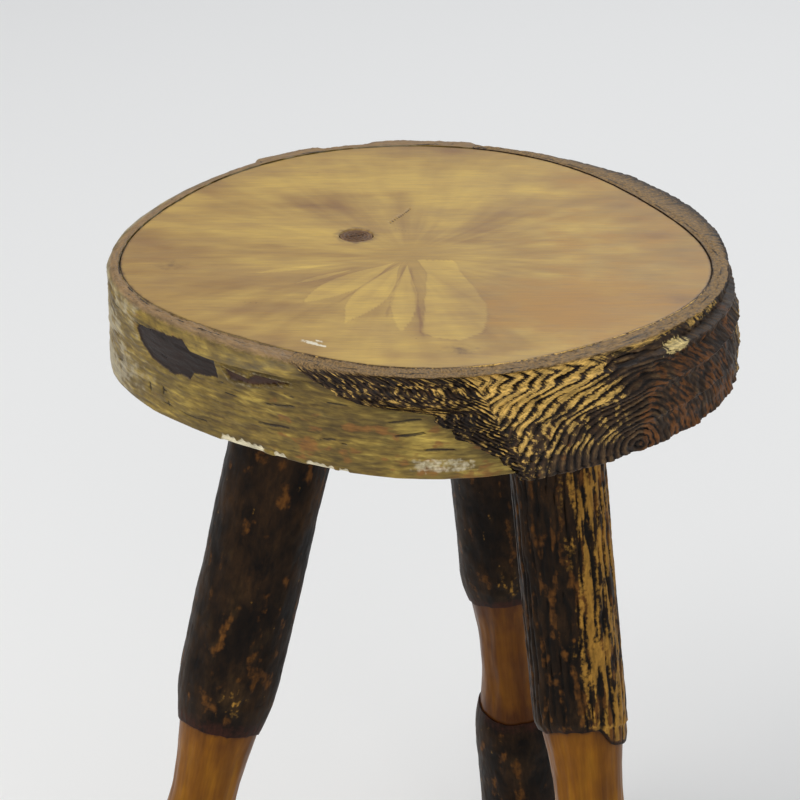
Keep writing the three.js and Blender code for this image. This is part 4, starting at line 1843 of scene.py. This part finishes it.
        piece = Skin(f"{self.name}_{part}_bark_piece", points, closed=True).build()
        store(piece, masks, np.stack([radius * np.cos(turn), radius * np.sin(turn), run], -1) * MM)
        hand_over(piece, LEG_BARK, [f"{self.name}_{part}_bark"])
        return piece

    def _pole(self) -> bpy.types.Object:
        """The pole's wood, from foot to tenon.

        Returns:
            The piece, its kerf cut for the wedge.
        """
        turn = np.linspace(-np.pi, np.pi, self.around, endpoint=False)[None]
        shown = np.arange(self.waist_low - 18, self.waist_high + 18, 1.4)
        buried_low = np.linspace(self.peel + 6, self.waist_low - 19, 12)
        buried_high = np.linspace(self.waist_high + 19, self.length - 0.01, 20)
        run = np.concatenate([np.linspace(0, self.peel + 5, 14), buried_low, shown, buried_high])[:, None]
        radius = self._wood(turn, run + 0 * turn)
        sole = self._place(turn + 0 * run[:1], 0 * run[:1] + 0 * turn, radius[:1] * 0.5)
        body = self._place(turn + 0 * run, run + 0 * turn, radius)
        ends = [(0.0, self.length), (0.0, self.length + 3), (0.0, self.tenon_end - 2), (1.2, self.tenon_end)]
        tenon = [
            self._place(turn, np.full(turn.shape, at), np.full(turn.shape, self.tenon_radius - less))
            for less, at in ends
        ]
        points = np.concatenate([sole, body, *tenon])
        piece = Skin(f"{self.name}_core_piece", points).build()
        cut_away(piece, [self._kerf()])
        spots = vertices_of(piece.data)
        away = (spots - self.foot) / MM
        along = away @ self.axis
        side, ahead = away @ self.right, away @ self.front
        angle = np.arctan2(side, ahead)
        streaks = self.noise.layered(ahead / 5, side / 5, along / 60)
        near = np.minimum(abs(along - self._upper_end(angle)), abs(along - self._lower_end(angle)))
        tone = 0.5 + 0.35 * streaks + 0.25 * self.noise.layered(ahead / 16, side / 16, along / 18)
        # painted shade: the whole pole's wood is drawn darker by this amount, for the seat's shadow
        tone = tone - self.painted_shade - 0.2 * hump(near, 0, 9) - 0.4 * (1 - ease(along, 2, 9))
        specks = ease(self.noise.layered(ahead / 3, side / 3, along / 9), 0.62, 0.85)
        stain = 0.7 * hump(near, 0, 1.6) + specks * 0.5
        grime = 0.5 * (1 - ease(along, 0, 7))
        store(piece, {"tone": tone, "stain": stain + grime}, np.stack([ahead, side, along], -1) * MM)
        hand_over(piece, LEG_WOOD, [f"{self.name}_core"])
        return piece

    def _kerf(self) -> bpy.types.Object:
        """The cutter that makes room for the fox wedge.

        Returns:
            The cutter, a little larger than the wedge all round.
        """
        made = bmesh.new()
        made.from_mesh(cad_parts[f"{self.name}_wedge"].data)
        bmesh.ops.remove_doubles(made, verts=made.verts, dist=1e-6)
        bmesh.ops.dissolve_limit(made, angle_limit=0.02, verts=made.verts, edges=made.edges)
        bmesh.ops.triangulate(made, faces=made.faces)
        made.normal_update()
        middle = sum((v.co for v in made.verts), Vector()) / len(made.verts)
        for vertex in made.verts:
            away = vertex.co - middle
            for direction, room in ((self.front, 1), (self.right, 3), (self.axis, 1)):
                axis = Vector(direction)
                vertex.co += axis * math.copysign(self.fit * MM * room, away @ axis)
        mesh = bpy.data.meshes.new("kerf")
        made.to_mesh(mesh)
        made.free()
        face_outward(mesh)
        cutter = bpy.data.objects.new("kerf", mesh)
        bpy.context.scene.collection.objects.link(cutter)
        return cutter

    def make(self) -> None:
        """Builds the pole, its two sleeves and its wedge's finish."""
        self._pole()
        self._sleeve("upper", self.length)
        self._sleeve("lower", self.peel)
        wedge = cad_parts[f"{self.name}_wedge"]
        wedge.data.materials.clear()
        wedge.data.materials.append(bpy.data.materials.get(WEDGE_WOOD.name) or WEDGE_WOOD.material())


# ------------------------------------------------------------------ the studio


@dataclass
class Studio:
    """A pale floor, soft light and the camera."""

    floor_color: Color = (0.88, 0.872, 0.858)
    floor_size: float = 16.0
    camera_back: float = 1.361          # from the log's axis
    camera_up: float = 0.5526           # above the sitting face
    camera_aside: float = -0.0084
    pitch: float = 25.0                 # degrees below level
    lens: float = 135.0
    world_strength: float = 0.52
    aim_below: float = 0.12             # the lights face this far below the sitting face

    def make(self, rim: RimShape) -> None:
        """Builds the floor, lights, world and camera.

        Args:
            rim: where the seat is.
        """
        half = self.floor_size / 2
        mesh = bpy.data.meshes.new("floor")
        square = [(-half, -half, 0), (half, -half, 0), (half, half, 0), (-half, half, 0)]
        mesh.from_pydata(square, [], [(0, 1, 2, 3)])
        floor = bpy.data.objects.new("floor", mesh)
        material = bpy.data.materials.new("floor")
        material.use_nodes = True
        shader = material.node_tree.nodes["Principled BSDF"]
        shader.inputs["Base Color"].default_value = (*self.floor_color, 1)
        shader.inputs["Roughness"].default_value = 0.9
        mesh.materials.append(material)
        bpy.context.scene.collection.objects.link(floor)
        world = bpy.data.worlds.new("studio")
        bpy.context.scene.world = world
        world.use_nodes = True
        background = world.node_tree.nodes["Background"]
        background.inputs["Color"].default_value = (0.93, 0.96, 1.0, 1)
        background.inputs["Strength"].default_value = self.world_strength
        target = Vector((*rim.axis, rim.top - self.aim_below))
        self._light("key", target, Vector((-1.5, -0.7, 1.7)), 1.6, 27.0, (1.0, 0.985, 0.96))
        self._light("front", target, Vector((0.3, -2.4, 1.0)), 1.8, 12.0, (1.0, 0.98, 0.96))
        self._light("back", target, Vector((0.8, 1.8, 1.8)), 1.6, 17.0, (0.97, 0.985, 1.0))
        camera = bpy.data.objects.new("camera", bpy.data.cameras.new("camera"))
        camera.data.lens, camera.data.sensor_width = self.lens, 36.0
        camera.data.clip_start, camera.data.clip_end = 0.01, 100.0
        camera.location = (
            rim.axis[0] + self.camera_aside, rim.axis[1] - self.camera_back, rim.top + self.camera_up
        )
        camera.rotation_euler = (math.radians(90 - self.pitch), 0, 0)
        bpy.context.scene.collection.objects.link(camera)
        bpy.context.scene.camera = camera
        bpy.context.scene.view_settings.view_transform = "Standard"

    def _light(
        self, name: str, target: Vector, away: Vector, size: float, watts: float, color: Color
    ) -> None:
        """Adds a soft square light.

        Args:
            name: the light's name.
            target: the point it faces.
            away: from the target to the light, in metres.
            size: its side, in metres.
            watts: its power.
            color: its colour.
        """
        data = bpy.data.lights.new(name, "AREA")
        data.shape, data.size, data.energy, data.color = "SQUARE", size, watts, color
        light = bpy.data.objects.new(name, data)
        light.location = target + away
        light.rotation_mode = "QUATERNION"
        light.rotation_quaternion = (-away).to_track_quat("-Z", "Y")
        bpy.context.scene.collection.objects.link(light)


LEGS = (
    dict(name="left_leg", kind=Skinned.SLEEK, seed=51, bevel=30.0, front_rise=3.0, carve=34.0, blend=42.0),
    dict(name="right_leg", kind=Skinned.FISSURED, seed=52, bevel=5.0, lip=1.4, front_rise=6.0, tongue=10.0,
         lean_in=1.0, step=0.9, around=190),
    # the back leg carries painted shade on its wood, for the seat's shadow
    dict(name="back_leg", kind=Skinned.SLEEK, seed=53, bevel=20.0, front_rise=7.0, carve=22.0, painted_shade=0.3),
)


def corners(box: tuple[Vector, Vector]) -> list[list[float]]:
    """A box's two corners as plain lists."""
    return [list(corner) for corner in box]


def main() -> None:
    """Builds the stool's looks in order."""
    logging.basicConfig(level=logging.INFO, format="%(name)s: %(message)s")
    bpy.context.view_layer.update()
    make_grain_group()
    make_worn_group()
    rim = RimShape()
    Studio().make(rim)
    legs = [Leg(**sizes) for sizes in LEGS]
    knot = Knot(rim)
    SeatWood(rim, sockets=[leg.socket() for leg in legs] + [knot.pocket()]).make()
    knot.make()
    SmoothBark(rim).make()
    RoughBark(rim).make()
    for leg in legs:
        leg.make()


if __name__ == "__main__":
    main()
